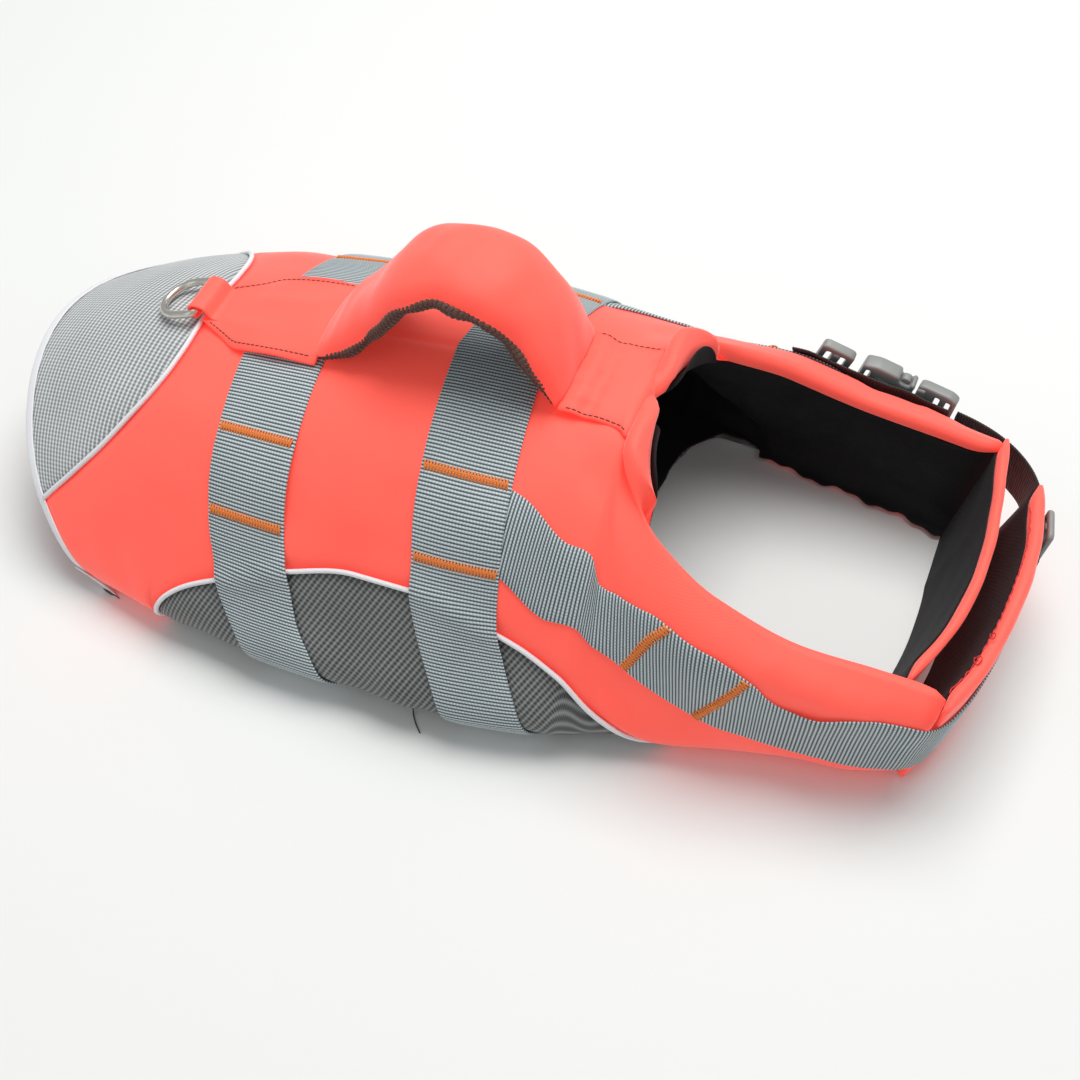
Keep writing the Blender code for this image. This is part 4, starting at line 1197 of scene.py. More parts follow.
@dataclass
class HemBinding:
    """White tape folded over the cut edge of the tail hem, with its loose end and black tack."""

    form: JacketForm
    end: float = 0.97
    leg: float = 3.0
    corner_leg: float = 5.0
    inner_leg: float = 6.0
    outer_lift: float = 0.45
    tape: float = 0.7
    hem_thickness: float = 3.6
    end_level: float = 0.93
    end_long: float = 17.0
    end_wide: float = 8.5

    def build(self) -> None:
        """Builds the tape, its loose end and the tack."""
        signed = np.linspace(-self.end, self.end, 220)
        level = np.abs(signed)
        flip = np.where(signed < 0, -1.0, 1.0)
        here = self.form.at(HEM, level)
        back = unit(here - self.form.at(HEM + 8.0, level))
        out = unit(self.form.at(HEM, level, 1.0) - here)
        leg = self.leg + self.corner_leg * np.clip((level - 0.8) / 0.17, 0, 1) ** 1.5
        none = np.zeros_like(level)
        half = self.hem_thickness / 2
        profile = [(-leg * (1 - k / 4), none + self.outer_lift) for k in range(4)]
        profile += [(none + 1.0 + 1.4 * math.sin(a), none - half + (half + 0.5) * math.cos(a))
                    for a in np.linspace(0, math.pi, 7)]
        profile += [(none - self.inner_leg * k / 3, none - self.hem_thickness - 0.2) for k in range(4)]
        outer = np.stack([here + back * reach[:, None] + out * lift[:, None] for reach, lift in profile], 1)
        outer[..., 1] *= flip[:, None]
        outer[..., 2] = np.maximum(outer[..., 2], 0.25)
        cloth = run_lengths(outer)
        back[:, 1] *= flip
        if (grid_normals(outer)[:, 7] * back).sum() < 0:
            outer, cloth = outer[:, ::-1], cloth[:, ::-1]
        inner = outer - grid_normals(outer) * self.tape
        inner[..., 2] = np.maximum(inner[..., 2], 0.1)
        made = Piece("hem_binding").slab(outer, inner, cloth).make(TAPE)
        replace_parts(made, "hem_binding")
        self._loose_end()

    def _loose_end(self) -> list[Object]:
        """The turned end of the tape at the near corner, with a black tack."""
        across = np.linspace(0, 1, 8)
        along = np.linspace(0, 1, 14)
        start = self.form.at(HEM + 1.0, 0.90, 1.3, Side.RIGHT)
        down = unit(self.form.at(HEM + 1.0, 0.985, 1.3, Side.RIGHT) - start)
        near, far = self.form.at(np.array([HEM, HEM + 9.0]), self.end_level, 1.3, Side.RIGHT)
        wide = unit(far - near)
        out = unit(np.cross(down, wide))
        low, high = self.form.at(HEM, 0.9, np.array([0.0, 5.0]), Side.RIGHT)
        out = out * np.sign(np.dot(out, high - low))
        grid = (start + down * self.end_long * along[:, None, None]
                + wide * (self.end_wide * across[None, :, None] - 2.0)
                + out * (0.4 + 1.4 * (along[:, None, None] ** 2)))
        grid[..., 2] = np.maximum(grid[..., 2], 0.9)
        if np.dot(grid_normals(grid)[5, 4], out) < 0:
            grid = grid[:, ::-1]
        inner = grid - grid_normals(grid) * 0.6
        made = Piece("binding_end").slab(grid, inner, run_lengths(grid)).make(TAPE)
        tack = Piece("binding_tack")
        corner = grid[-1, 4] + out * 0.3
        for k in range(5):
            spot = corner + wide * (k - 2) * 0.9
            tack.tube(np.stack([spot - down * 2.2, spot + out * 0.5, spot + down * 0.4]), 0.28, THREAD_SIDES)
        tail = np.linspace(0, 1, 10)[:, None]
        loose = corner + wide * (6.0 * tail) + down * (1.4 * np.sin(tail * 3)) + out * 0.2
        loose[:, 2] = np.maximum(loose[:, 2], 0.4)
        tack.tube(loose, 0.25, THREAD_SIDES)
        return [made, tack.make(BLACK_THREAD)]


# Webbing


@dataclass
class Band:
    """A band of webbing laid along rows of points, with its cross ribs as real relief."""

    thickness: float = 1.4
    step: float = 0.45
    rib: float = 0.11
    rib_pitch: float = 1.7

    def lay(self, name: str, rows: Array, finish: Finish) -> tuple[Object, Array]:
        """Builds the band over its underside.

        Args:
            name: The piece's name.
            rows: Coarse grid of the underside, its cross product pointing out.
            finish: What the band is made of.

        Returns:
            The piece and the fine grid of its outer face.
        """
        middle = rows[:, rows.shape[1] // 2]
        chord = lengths_along(middle)
        at = np.linspace(0, chord[-1], int(chord[-1] / self.step))
        under = smooth_through(chord, rows.reshape(len(rows), -1), at).reshape(len(at), -1, 3)
        normals = grid_normals(under)
        cloth = run_lengths(under)
        ribs = self.rib * np.cos(2 * np.pi * cloth[..., 0] / self.rib_pitch)
        across = np.linspace(-1, 1, under.shape[1])
        selvedge = -0.35 * np.abs(across) ** 8
        outer = under + normals * (self.thickness + ribs + selvedge)[..., None]
        made = Piece(name).slab(outer, under, cloth, rings=3).make(finish)
        return made, outer


@dataclass
class BodyStraps:
    """The two straps round the body, each from its belly buckle over the back and down to it again."""

    form: JacketForm
    half: float = 19.0
    floor_height: float = 1.5
    buckle_half: float = 25.0
    columns: int = 11
    rest_lift: float = -0.2
    loop_lift: float = 1.1
    seam_lift: float = 1.7
    rear_tacks: Pair = (0.35, 0.555)
    front_tacks: Pair = (0.325, 0.525)

    def lift(self, tacks: Pair, station: Array, level: Array) -> Array:
        """Height of the strap's underside over the form: down at tacks, up between them and over seams."""
        girth = self.form.girth(station)
        share = np.clip((level - tacks[0]) / (tacks[1] - tacks[0]), 0, 1)
        height = self.rest_lift + self.loop_lift * np.sin(share * np.pi)
        height = height + self.seam_lift * bell((level - Seams.belly_level(station)) * girth, 6.0)
        height = height + 0.9 * bell((level - 0.75) * girth, 22.0)
        height = height + np.clip((level - 0.9) / 0.1, 0, 1) * 1.6
        return height

    def row(self, marks: Marks, tacks: Pair, signed: float) -> Array:
        """One row of points across the underside, from the rear edge to the front edge."""
        level = abs(signed)
        side = Side.LEFT if signed >= 0 else Side.RIGHT
        station = float(marks(min(level, 1.0))) + np.linspace(-self.half, self.half, self.columns)
        return self.form.at(station, level, self.lift(tacks, station, np.full(self.columns, level)), side)

    def build(self, name: str, marks: Marks, tacks: Pair) -> Array:
        """Builds one strap and gives the fine grid of its outer face."""
        levels = np.concatenate([np.arange(1.0, 0.0, -0.028), [0.0]])
        left = [self.row(marks, tacks, level) for level in levels]
        right = [self.row(marks, tacks, -level) for level in levels[::-1][1:]]
        foot = self.form.at(float(marks(1.0)), 1.0)
        xs = foot[0] + np.linspace(-self.half, self.half, self.columns)
        floor_ys = np.array([self.buckle_half, 40, 60, 80, foot[1] - 12.0])
        under_left = [np.stack([xs, np.full_like(xs, y), np.full_like(xs, self.floor_height)],
                               1) for y in floor_ys]
        under_right = [row * np.array([1.0, -1.0, 1.0]) for row in under_left[::-1]]
        rows = np.array(under_left + left + right + under_right)
        made, outer = Band().lay(name, rows, WEBBING)
        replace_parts(made, name)
        return outer


@dataclass
class ChestStraps:
    """Webbing from the front strap's tacks along each neck arm; the right one runs on over the flap."""

    form: JacketForm
    flap: "ChestFlap"
    columns: int = 11
    edges: tuple[Triple, ...] = (
        (-46, 0.325, 0.50), (-36, 0.345, 0.53), (-10, 0.425, 0.605), (10, 0.43, 0.60), (32, 0.315, 0.56),
        (50, 0.22, 0.57), (66, 0.205, 0.585), (82, 0.25, 0.61), (92, 0.33, 0.64), (104, 0.345, 0.665),
        (120, 0.27, 0.685), (136, 0.23, 0.705), (150, 0.22, 0.72),
    )
    low: float = 11.0
    width: float = 38.0
    flap_end: float = 0.76

    def edge_levels(self, station: Array) -> Array:
        """Levels of the upper and the lower edge at these stations."""
        table = np.array(self.edges, float)
        return gentle_through(table[:, 0], table[:, 1:], station)

    def build(self, side: Side) -> tuple[Object, Array]:
        """Builds one side's strap."""
        station = np.arange(self.edges[0][0], 151.0, 5.6)
        levels = self.edge_levels(station)
        across = np.linspace(0, 1, self.columns)
        level = levels[:, :1] + (levels[:, 1:] - levels[:, :1]) * across
        spread = np.broadcast_to(station[:, None], level.shape)
        lift = 0.15 - 1.0 * np.clip((-34 - spread) / 8.0, 0, 1)
        lift = lift + 0.9 * bell(spread - 70.0, 9.0) + 1.3 * bell(spread - 112.0, 12.0) * (1 - across)
        lift = lift + BackPanels(self.form).relief(spread, level) * 0.8
        rows = self.form.at(spread, level, lift, side)
        if side is Side.RIGHT:
            shares = np.linspace(0.04, self.flap_end, 16)
            heights = self.low + self.width * (1 - across)
            on_flap = [self.flap.at(np.full_like(heights, s), heights / self.flap.height,
                                    -0.4) for s in shares]
            rows = np.concatenate([rows, np.array(on_flap)])[:, ::-1]
        made, outer = Band().lay("chest_strap_" + side.word, rows, WEBBING)
        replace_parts(made, "chest_strap_" + side.word)
        return made, outer


@dataclass
class Tacks:
    """Dense orange bar tacks across the webbing; the dark stitch lines of the handle's tabs are built with
    the handle.
    """

    form: JacketForm
    straps: BodyStraps
    chest: ChestStraps
    long: float = 4.2
    pitch: float = 0.72
    thread: float = 0.42

    def bar(self, piece: Piece, line: Array, out: Array) -> None:
        """Adds one bar tack: short threads side by side from one edge of a strap to the other.

        Args:
            piece: Gathers the threads.
            line: Points of the tack's middle line on the strap's outer face.
            out: Direction out of the strap at each point.
        """
        length = lengths_along(line)
        for k, at in enumerate(np.arange(self.pitch / 2, length[-1], self.pitch)):
            middle, ahead, up = (read_line(place, length, table)
                                 for place, table in ((at, line), (at + 0.5, line), (at, out)))
            run = unit(ahead - middle) if at + 0.5 < length[-1] else unit(line[-1] - line[-2])
            along = unit(np.cross(up, run))
            up = unit(np.cross(run, along))
            tilt = run * 0.35 * (1 if k % 2 else -1)
            reach = along * self.long / 2 * (1.0 + 0.09 * math.sin(k * 2.3))
            path = [middle - reach - up * 0.5, middle - reach * 0.86 - tilt + up * 0.25,
                    middle + up * 0.55, middle + reach * 0.86 + tilt + up * 0.25, middle + reach - up * 0.5]
            piece.tube(np.array(path), self.thread, THREAD_SIDES)

    def across_strap(self, piece: Piece, marks: Marks, tacks: Pair, level: float,
                     side: Side) -> None:
        """Adds a bar tack across a body strap at a level."""
        station = float(marks(level)) + np.linspace(-1, 1, 7) * (self.straps.half - 1.0)
        lift = self.straps.lift(tacks, station, np.full(7, level)) + 1.45
        points = self.form.at(station, level, lift, side)
        out = self.form.at(station, level, lift + 1.0, side) - points
        self.bar(piece, points, out)

    def across_chest(self, piece: Piece, upper: Pair, lower: Pair, side: Side,
                     grid: Array) -> None:
        """Adds a bar tack across a chest strap, laid on the nearest points of its outer face."""
        share = np.linspace(0, 1, 9)
        station, level = (upper[k] + (lower[k] - upper[k]) * share for k in range(2))
        targets = self.form.at(station, level, 1.6, side)
        flat = grid.reshape(-1, 3)
        found = np.array([flat[np.argmin(np.linalg.norm(flat - target, axis=1))] for target in targets])
        out = unit(self.form.at(station, level, 3.0, side) - self.form.at(station, level, 0.0, side))
        self.bar(piece, found, out)

    def build(self, chest_grids: dict[Side, Array]) -> None:
        """Builds every bar tack."""
        piece = Piece("bar_tacks")
        for side in Side:
            for marks, tacks in ((Seams.rear_strap, self.straps.rear_tacks),
                                 (Seams.front_strap, self.straps.front_tacks)):
                for level in tacks:
                    self.across_strap(piece, marks, tacks, level, side)
            self.across_chest(piece, (50, 0.22), (32, 0.56), side, chest_grids[side])
            self.across_chest(piece, (79, 0.255), (62, 0.585), side, chest_grids[side])
        piece.make(BARTACK_THREAD)


# Handle


@dataclass
class Handle:
    """Padded grip arching over the back, its dark backing and braided edges, and the tabs at its ends."""

    form: JacketForm
    half: float = 25.0
    pad: float = 11.0
    backing: float = 1.0
    braid_strand: float = 1.1
    braid_pitch: float = 7.0
    arch: tuple[Pair, ...] = (
        (-146.0, 114.2), (-133, 119.5), (-114, 139), (-101, 156), (-92, 161), (-78, 162.5), (-65, 160),
        (-51, 148), (-41, 135), (-33, 123.2),
    )
    rear_tab: Marks = field(default_factory=lambda: Marks((-146.4, 27), (-164, 26.5), (-184, 25), (-196,
                                                                                                   18.5),
                                                          (-208, 11)))
    front_tab: Marks = field(default_factory=lambda: Marks((-33, 25), (-16, 25), (1, 26.5)))

    def grip(self) -> tuple[Array, Array, Array]:
        """Underside of the grip as a grid, its normals, and its share of the way along each row."""
        knots, heights = np.array(self.arch, float).T
        run = eased(120, 0.2)
        x = knots[0] + (knots[-1] - knots[0]) * run
        z = smooth_through(knots, heights[:, None], x)[:, 0]
        across = np.linspace(-1, 1, 49)
        wave = 1.0 + 0.025 * np.sin(run * 21.0) + 0.02 * np.sin(run * 43.0 + 1.0)
        sag = 1.2 * np.sin(run * 26.0) * np.sin(np.pi * run)
        y = across[None, :] * self.half * wave[:, None]
        crown = 1.5 * (1 - across[None, :] ** 2) + sag[:, None] * np.abs(across[None, :]) ** 3 * 0.6
        points = np.stack([np.broadcast_to(x[:, None], y.shape), y, z[:, None] + crown], -1)
        normals = grid_normals(points)
        return points, normals, run

    def build_grip(self) -> None:
        """Builds the padded grip, its backing and its two braided edges."""
        under, normals, run = self.grip()
        across = np.linspace(-1, 1, under.shape[1])
        full = 0.22 + 0.78 * rise(np.minimum(run, 1 - run) / 0.16)
        profile = (1 - np.abs(across) ** 2.6) ** 0.62
        depth = 1.2 + self.pad * full[:, None] * profile[None, :]
        depth = depth + 0.5 * ripple(run[:, None] * 170, across[None, :] * 25, 34.0, 8) * profile[None, :]
        pinch = bell(np.abs(across)[None, :] - 0.93, 0.07) * 0.5
        top = under + normals * (depth - pinch)[..., None]
        cloth = run_lengths(under)
        edge = (1 - np.abs(across))[None, :] * self.half + np.zeros((len(run), 1))
        made = Piece("handle_grip").slab(top, under, cloth, edge, round_edge=0.8).make(CORAL)
        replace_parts(made, "handle_pad")
        inset = under[3:-3, 2:-2]
        low = inset - normals[3:-3, 2:-2] * 0.15
        deep = low - normals[3:-3, 2:-2] * self.backing
        back = Piece("handle_backing").slab(low, deep, run_lengths(low), rings=3).make(MESH_BACKING)
        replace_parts(back, "handle_underside")
        for side, column in ((Side.RIGHT, 1), (Side.LEFT, -2)):
            line = under[:, column] - normals[:, column] * 0.3
            self.braid("handle_braid_" + side.word, line, normals[:, column], side)

    def braid(self, name: str, line: Array, up: Array, side: Side) -> None:
        """Builds a three-strand braid along an edge line."""
        length = lengths_along(line)
        at = np.arange(0.0, length[-1], 0.45)
        path = read_line(at, length, line)
        normal = unit(read_line(at, length, up))
        tangent = unit(np.gradient(path, axis=0))
        out = unit(np.cross(tangent, normal)) * (1 if side is Side.RIGHT else -1)
        out = out * np.sign((out[:, 1] * side.value).mean())
        size = 0.35 + 0.65 * rise(np.minimum(at, length[-1] - at) / 26.0)
        size = size * (1 + 0.15 * np.sin(at / 6.1) + 0.1 * np.sin(at / 2.7))
        piece = Piece(name)
        for strand in range(3):
            turn = 2 * np.pi * (at / self.braid_pitch + strand / 3)
            swing = 1.6 * np.sin(turn) * size
            over = 0.85 * np.sin(2 * turn) * size
            points = path + normal * (swing - 0.2)[:, None] + out * (over + 0.5)[:, None]
            piece.tube(points, self.braid_strand * size, 7)
        piece.make(BROWN_THREAD)

    def tab_lift(self, station: Array) -> Array:
        """Height of a tab's underside over the form: it clears the rear strap."""
        return 0.5 + 1.9 * switch(station + 186, 2.5) * (1 - switch(station + 30, 4.0))

    def tab_grid(self, stations: Array, marks: Marks, columns: int = 41) -> tuple[Array, Array, Array]:
        """Stations, signed levels and points of a tab's underside."""
        across = np.linspace(-1, 1, columns)
        half = marks(stations)
        girth = self.form.girth(stations)
        signed = across[None, :] * (half / girth)[:, None]
        station = np.broadcast_to(stations[:, None], signed.shape)
        points = self.form.at(station, np.abs(signed), self.tab_lift(station))
        points[..., 1] *= np.where(signed < 0, -1.0, 1.0)
        return station, signed, points

    def sew_tab(self, name: str, under: Array, rise: Array) -> Array:
        """Builds a tab over its underside and gives its outer face."""
        outer = under + rise
        across = np.linspace(-1, 1, under.shape[1])
        edge = (1 - np.abs(across))[None, :] * self.half + np.zeros(under.shape[:2])
        made = Piece(name).slab(outer, under, run_lengths(under), edge, rings=5).make(CORAL)
        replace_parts(made, name)
        return outer

    def build_rear_tab(self) -> None:
        """Builds the tab from the grip down to the D-ring."""
        stations = np.linspace(-208.0, -145.0, 60)
        station, signed, under = self.tab_grid(stations, self.rear_tab)
        across = np.linspace(-1, 1, under.shape[1])
        rise = bell(station + 150.0, 12.0) * 2.0 * (1 - across[None, :] ** 2)
        fold = 0.9 * bell(across[None, :] * 26 - 6.0, 5.0) * bell(station + 170.0, 18.0)
        fold = fold + 0.8 * bell(across[None, :] * 26 + 13.0, 5.0) * bell(station + 186.0, 14.0)
        curl = 0.8 * np.abs(across[None, :]) ** 6 * np.sin(station / 7.0)
        normals = grid_normals(under)
        under = under + normals * (rise + fold + curl + 0.3)[..., None]
        outer = self.sew_tab("handle_rear_tab", under, normals * 1.5)
        self.stitch_line("rear_tab_stitches", outer[3:-1], (2, -3))

    def build_front_tab(self) -> None:
        """Builds the tab from the grip to the neck edge, folded over it."""
        stations = np.concatenate([np.linspace(-36.0, -0.4, 46), np.full(5, -0.4)])
        station, signed, under = self.tab_grid(stations, self.front_tab, 49)
        across = np.linspace(-1, 1, under.shape[1])
        for k in range(5):
            turn = (k + 1) / 5 * math.pi / 2
            under[-5 + k] += np.array([3.2 * math.sin(turn), 0.0, -5.0 * (1 - math.cos(turn)) - 0.2 * k])
        pucker = 0.28 * np.sin(across[None, :] * 26.0 / 1.5) * bell(station + 30.0, 12.0)
        fold = 0.9 * bell(station + 31.0, 3.0) - 0.7 * bell(station + 25.0, 3.0)
        sway = 0.5 * ripple(station, signed * 180.0, 26.0, 17)
        normals = grid_normals(under)
        under = under + normals * (pucker + fold + sway + 0.2)[..., None]
        outer = self.sew_tab("handle_front_tab", under, normals * 1.4)
        self.stitch_line("front_tab_stitches", outer[2:46], (1, -2))

    def stitch_line(self, name: str, outer: Array, columns: tuple[int, ...]) -> None:
        """Builds a line of short dark stitches along columns of a grid."""
        piece = Piece(name)
        normals = grid_normals(outer)
        for column in columns:
            line, out = outer[:, column], normals[:, column]
            length = lengths_along(line)
            for start in np.arange(1.0, length[-1] - 2.5, 2.6):
                at = start + np.linspace(0, 2.2, 5)
                path = read_line(at, length, line)
                up = read_line(at, length, out)
                height = np.array([-0.25, 0.1, 0.2, 0.1, -0.25])[:, None]
                piece.tube(path + up * height, 0.3, THREAD_SIDES)
        piece.make(BROWN_THREAD)

    def build(self) -> None:
        """Builds the whole handle."""
        self.build_grip()
        self.build_rear_tab()
        self.build_front_tab()


@dataclass
class LeashRing:
    """Nickel D-ring hinged in a folded loop at the rear end of the handle's tab."""

    form: JacketForm
    joint: dict
    wire: float = 1.9
    half: float = 12.5
    reach: float = 24.0
    corner: float = 4.0
    droop: float = 20.0
    loop_half: float = 10.6
    bore: float = 2.9
    web: float = 1.2

    def bar(self) -> Array:
        """Middle of the ring's bar, from the joint, in drawing mm."""
        return np.array(self.joint["pos_m"], float) / MM - DRAWING_SHIFT

    def build_ring(self) -> None:
        """Builds the ring's bent wire as one closed loop; the butt joint in its bar is not modelled."""
        c, h = self.corner, self.half
        points = [(0.0, y) for y in np.linspace(-h + c, h - c, 14)]
        points += [(-c + c * math.cos(a), h - c + c * math.sin(a)) for a in np.linspace(0.15, math.pi / 2, 8)]
        bow = self.reach - h
        points += [(-x, h) for x in np.linspace(c + 1.0, bow - 1.0, 6)]
        points += [(-bow - h * math.sin(a), h * math.cos(a)) for a in np.linspace(0, math.pi, 44)]
        points += [(-x, -h) for x in np.linspace(bow - 1.0, c + 1.0, 6)]
        points += [(-c + c * math.cos(a), -h + c - c * math.sin(a)) for a in np.linspace(math.pi / 2, 0.15,
                                                                                         8)]
        flat = np.array(points)
        tilt = math.radians(self.droop)
        path = np.stack([flat[:, 0] * math.cos(tilt), flat[:, 1], flat[:, 0] * math.sin(tilt)],
                        1) + self.bar()
        made = Piece("leash_ring").tube(path, self.wire, 18, closed=True).make(NICKEL, Body.RING)
        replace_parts(made, "d_ring")

    def build_loop(self) -> None:
        """Builds the folded loop round the bar, its upper leg sewn to the tab."""
        bar = self.bar()
        end = self.form.at(-199.0, 0.0, 0.9)
        angles = np.radians(90 + np.linspace(0, 185, 30))
        path = [(end[0], end[2]), (end[0] - 5.0, end[2] + 0.2), (bar[0] + 3.5, bar[2] + self.bore - 0.3)]
        path += [(bar[0] + self.bore * math.cos(a), bar[2] + self.bore * math.sin(a)) for a in angles]
        line = np.array(path)
        chord = lengths_along(line)
        fine = smooth_through(chord, line, np.linspace(0, chord[-1], 90))
        across = np.linspace(1, -1, 21)
        grid = np.stack([np.broadcast_to(fine[:, None, 0], (90, 21)),
                         np.broadcast_to(across[None, :] * self.loop_half, (90, 21)),
                         np.broadcast_to(fine[:, None, 1], (90, 21))], -1)
        normals = grid_normals(grid)
        outer = grid + normals * self.web
        made = Piece("ring_loop").slab(outer, grid, run_lengths(grid), rings=5).make(CORAL)
        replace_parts(made, "ring_loop")

    def build(self) -> None:
        """Builds the ring and its loop."""
        self.build_ring()
        self.build_loop()


# Chest


@dataclass
class ChestFlap:
    """One foam flap across the chest: its outer face seen from above, and how it stands."""

    name: str
    spots: tuple[Pair, ...]
    turn: int
    foam: float
    lining: float = 0.9
    height: float = 67.0
    lean: float = 9.0
    hang: float = 0.0
    slack: float = 0.0
    columns: int = 110
    rows: int = 40

    def at(self, share: Array, height: Array, depth: Array) -> Array:
        """Points of the outer face, moved in by a depth.

        Args:
            share: Shares of the way along the flap.
            height: Heights from 0 at the floor to 1 at the top edge.
            depth: How far in, mm.

        Returns:
            The points.
        """
        spots = np.array(self.spots, float)
        chord = lengths_along(spots)
        share, height, depth = np.broadcast_arrays(*(np.asarray(x, float) for x in (share, height, depth)))
        run = np.clip(share.ravel(), 0, 1) * chord[-1]
        here = smooth_through(chord, spots, run)
        ahead = smooth_through(chord, spots, np.clip(run + 1, 0, chord[-1]))
        behind = smooth_through(chord, spots, np.clip(run - 1, 0, chord[-1]))
        along = unit(ahead - behind)
        outward = np.stack([along[:, 1], -along[:, 0]], 1) * self.turn
        hang = self.hang * np.minimum(share.ravel() / 0.3, 1.0)
        inset = (self.lean + hang) * (1 - height.ravel()) + depth.ravel()
        flat = here - outward * inset[:, None]
        return np.concatenate([flat, self.height * height.reshape(-1, 1)], 1).reshape(*share.shape, 3)

    def build(self, lining_trim: float) -> None:
        """Builds the foam panel and the lining behind it."""
        share = eased(self.columns, 0.3)[:, None]
        run = share * 150.0
        top = 1 - 3.0 / self.height + 0.008 * np.sin(run / 11.0) + 0.006 * np.sin(run / 4.3)
        low = 1.6 / self.height
        height = top + (low - top) * eased(self.rows, 0.5)[None, :]
        waves = 0.8 * ripple(run, height * self.height, 60.0, 41 if self.turn > 0 else 43)
        outer = self.at(share, height, -waves * 0.5)
        full = 0.45 + 0.55 * rise(np.minimum(share, 1 - share) * 150 / 12.0)
        depth = self.foam * full + 0.25 * waves
        inner = self.at(share, height, np.broadcast_to(depth, height.shape))
        cloth = np.stack([np.broadcast_to(run, height.shape), height * self.height], -1)
        behind = np.clip(height - 1.5 / self.height, 0.004, 1)
        fall = depth + 0.15 + self.slack * (1 - behind) ** 1.5 * np.sin(np.clip(share * 14.0, 0.25,
                                                                                1) * np.pi / 2)
        skin = self.at(share, behind, fall)
        back = self.at(share, behind, fall + self.lining)
        keep = slice(int(lining_trim / 150.0 * self.columns), None)
        if self.turn > 0:
            outer, inner, cloth = outer[:, ::-1], inner[:, ::-1], cloth[:, ::-1]
            skin, back = skin[:, ::-1], back[:, ::-1]
        made = Piece("chest_flap_" + self.name).slab(outer, inner, cloth, rings=7).make(CORAL)
        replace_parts(made, "chest_flap_" + self.name)
        faced = Piece("flap_lining_" + self.name).slab(skin[keep], back[keep], cloth[keep]).make(LINING_CLOTH)
        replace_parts(faced, "flap_lining_" + self.name)


OUTER_FLAP = ChestFlap("outer", ((159.4, -79.2), (168, -62), (175, -38), (180, -8), (182, 22), (178, 57)), 1,
                       6.2, slack=11.0)
INNER_FLAP = ChestFlap("inner", ((158.5, 81), (160.5, 60), (163, 25), (161, -8), (155, -38), (142, -69)), -1,
                       4.6, hang=6.0,
                        slack=2.0)


# Fittings


class Moulding:
    """A plastic fitting gathered from flat mouldings with rounded edges."""

    def __init__(self, name: str) -> None:
        """Starts an empty fitting."""
        self.name = name
        self.meshes: list[tuple[bpy.types.Mesh, Matrix]] = []

    def plate(self, outline: Outline, holes: Sequence[Outline],
              thickness: float, height: float, edge: float = 0.7) -> "Moulding":
        """Adds a plate with rounded edges.

        Args:
            outline: Corners of the plate.
            holes: Corners of each opening.
            thickness: Whole thickness, mm.
            height: Height of its middle over the fitting's own middle.
            edge: Radius of the rounded edges.

        Returns:
            This fitting.
        """
        curve = bpy.data.curves.new("plate", "CURVE")
        curve.dimensions = "2D"
        curve.fill_mode = "BOTH"
        curve.bevel_depth = edge * MM
        curve.bevel_resolution = 3
        curve.offset = -edge * MM
        curve.extrude = max(thickness / 2 - edge, 0.05) * MM
        for ring in (outline, *holes):
            spline = curve.splines.new("POLY")
            corners = softened(ring)
            spline.points.add(len(corners) - 1)
            for point, (x, y) in zip(spline.points, corners):
                point.co = (x * MM, y * MM, 0.0, 1.0)
            spline.use_cyclic_u = True
        maker = bpy.data.objects.new("plate", curve)
        bpy.context.scene.collection.objects.link(maker)
        bpy.context.view_layer.update()
        mesh = bpy.data.meshes.new_from_object(maker.evaluated_get(bpy.context.evaluated_depsgraph_get()))
        bpy.data.objects.remove(maker)
        bpy.data.curves.remove(curve)
        self.meshes.append((mesh, Matrix.Translation((0, 0, height * MM))))
        return self

    def make(self, place: Matrix, finish: Finish) -> Object:
        """Joins the plates into one piece at a place."""
        form = bmesh.new()
        for mesh, local in self.meshes:
            mesh.transform(place @ local)
            form.from_mesh(mesh)
        bmesh.ops.remove_doubles(form, verts=form.verts, dist=0.02 * MM)
        bmesh.ops.recalc_face_normals(form, faces=form.faces)
        whole = bpy.data.meshes.new(self.name)
        form.to_mesh(whole)
        form.free()
        whole.shade_smooth()
        whole.set_sharp_from_angle(angle=SHARP_ANGLE)
        return dressed(bpy.data.objects.new(self.name, whole), finish)


def softened(corners: Outline, radius: float = 1.6,
             steps: int = 4) -> Outline:
    """Rounds the corners of a closed outline.

    Args:
        corners: The outline.
        radius: Length of each side used by a round.
        steps: Points of each round.

    Returns:
        The outline with rounds.
    """
    made = []
    count = len(corners)
    for k in range(count):
        before, here, after = (np.array(corners[(k + d) % count], float) for d in (-1, 0, 1))
        reach = min(radius, np.linalg.norm(before - here) / 2.2, np.linalg.norm(after - here) / 2.2)
        a = here + unit(before - here) * reach
        b = here + unit(after - here) * reach
        for t in np.linspace(0, 1, steps):
            made.append(tuple((1 - t) ** 2 * a + 2 * t * (1 - t) * here + t**2 * b))
    return made


def slot_outline(x: float, long: float, half: float) -> Outline:
    """Corners of a webbing slot across a fitting."""
    return [(x - long / 2, -half), (x + long / 2, -half), (x + long / 2, half), (x - long / 2, half)]


def both_halves(half: Outline) -> Outline:
    """A closed outline from its half below the fitting's middle line."""
    return list(half) + [(x, -y) for x, y in reversed(half)]


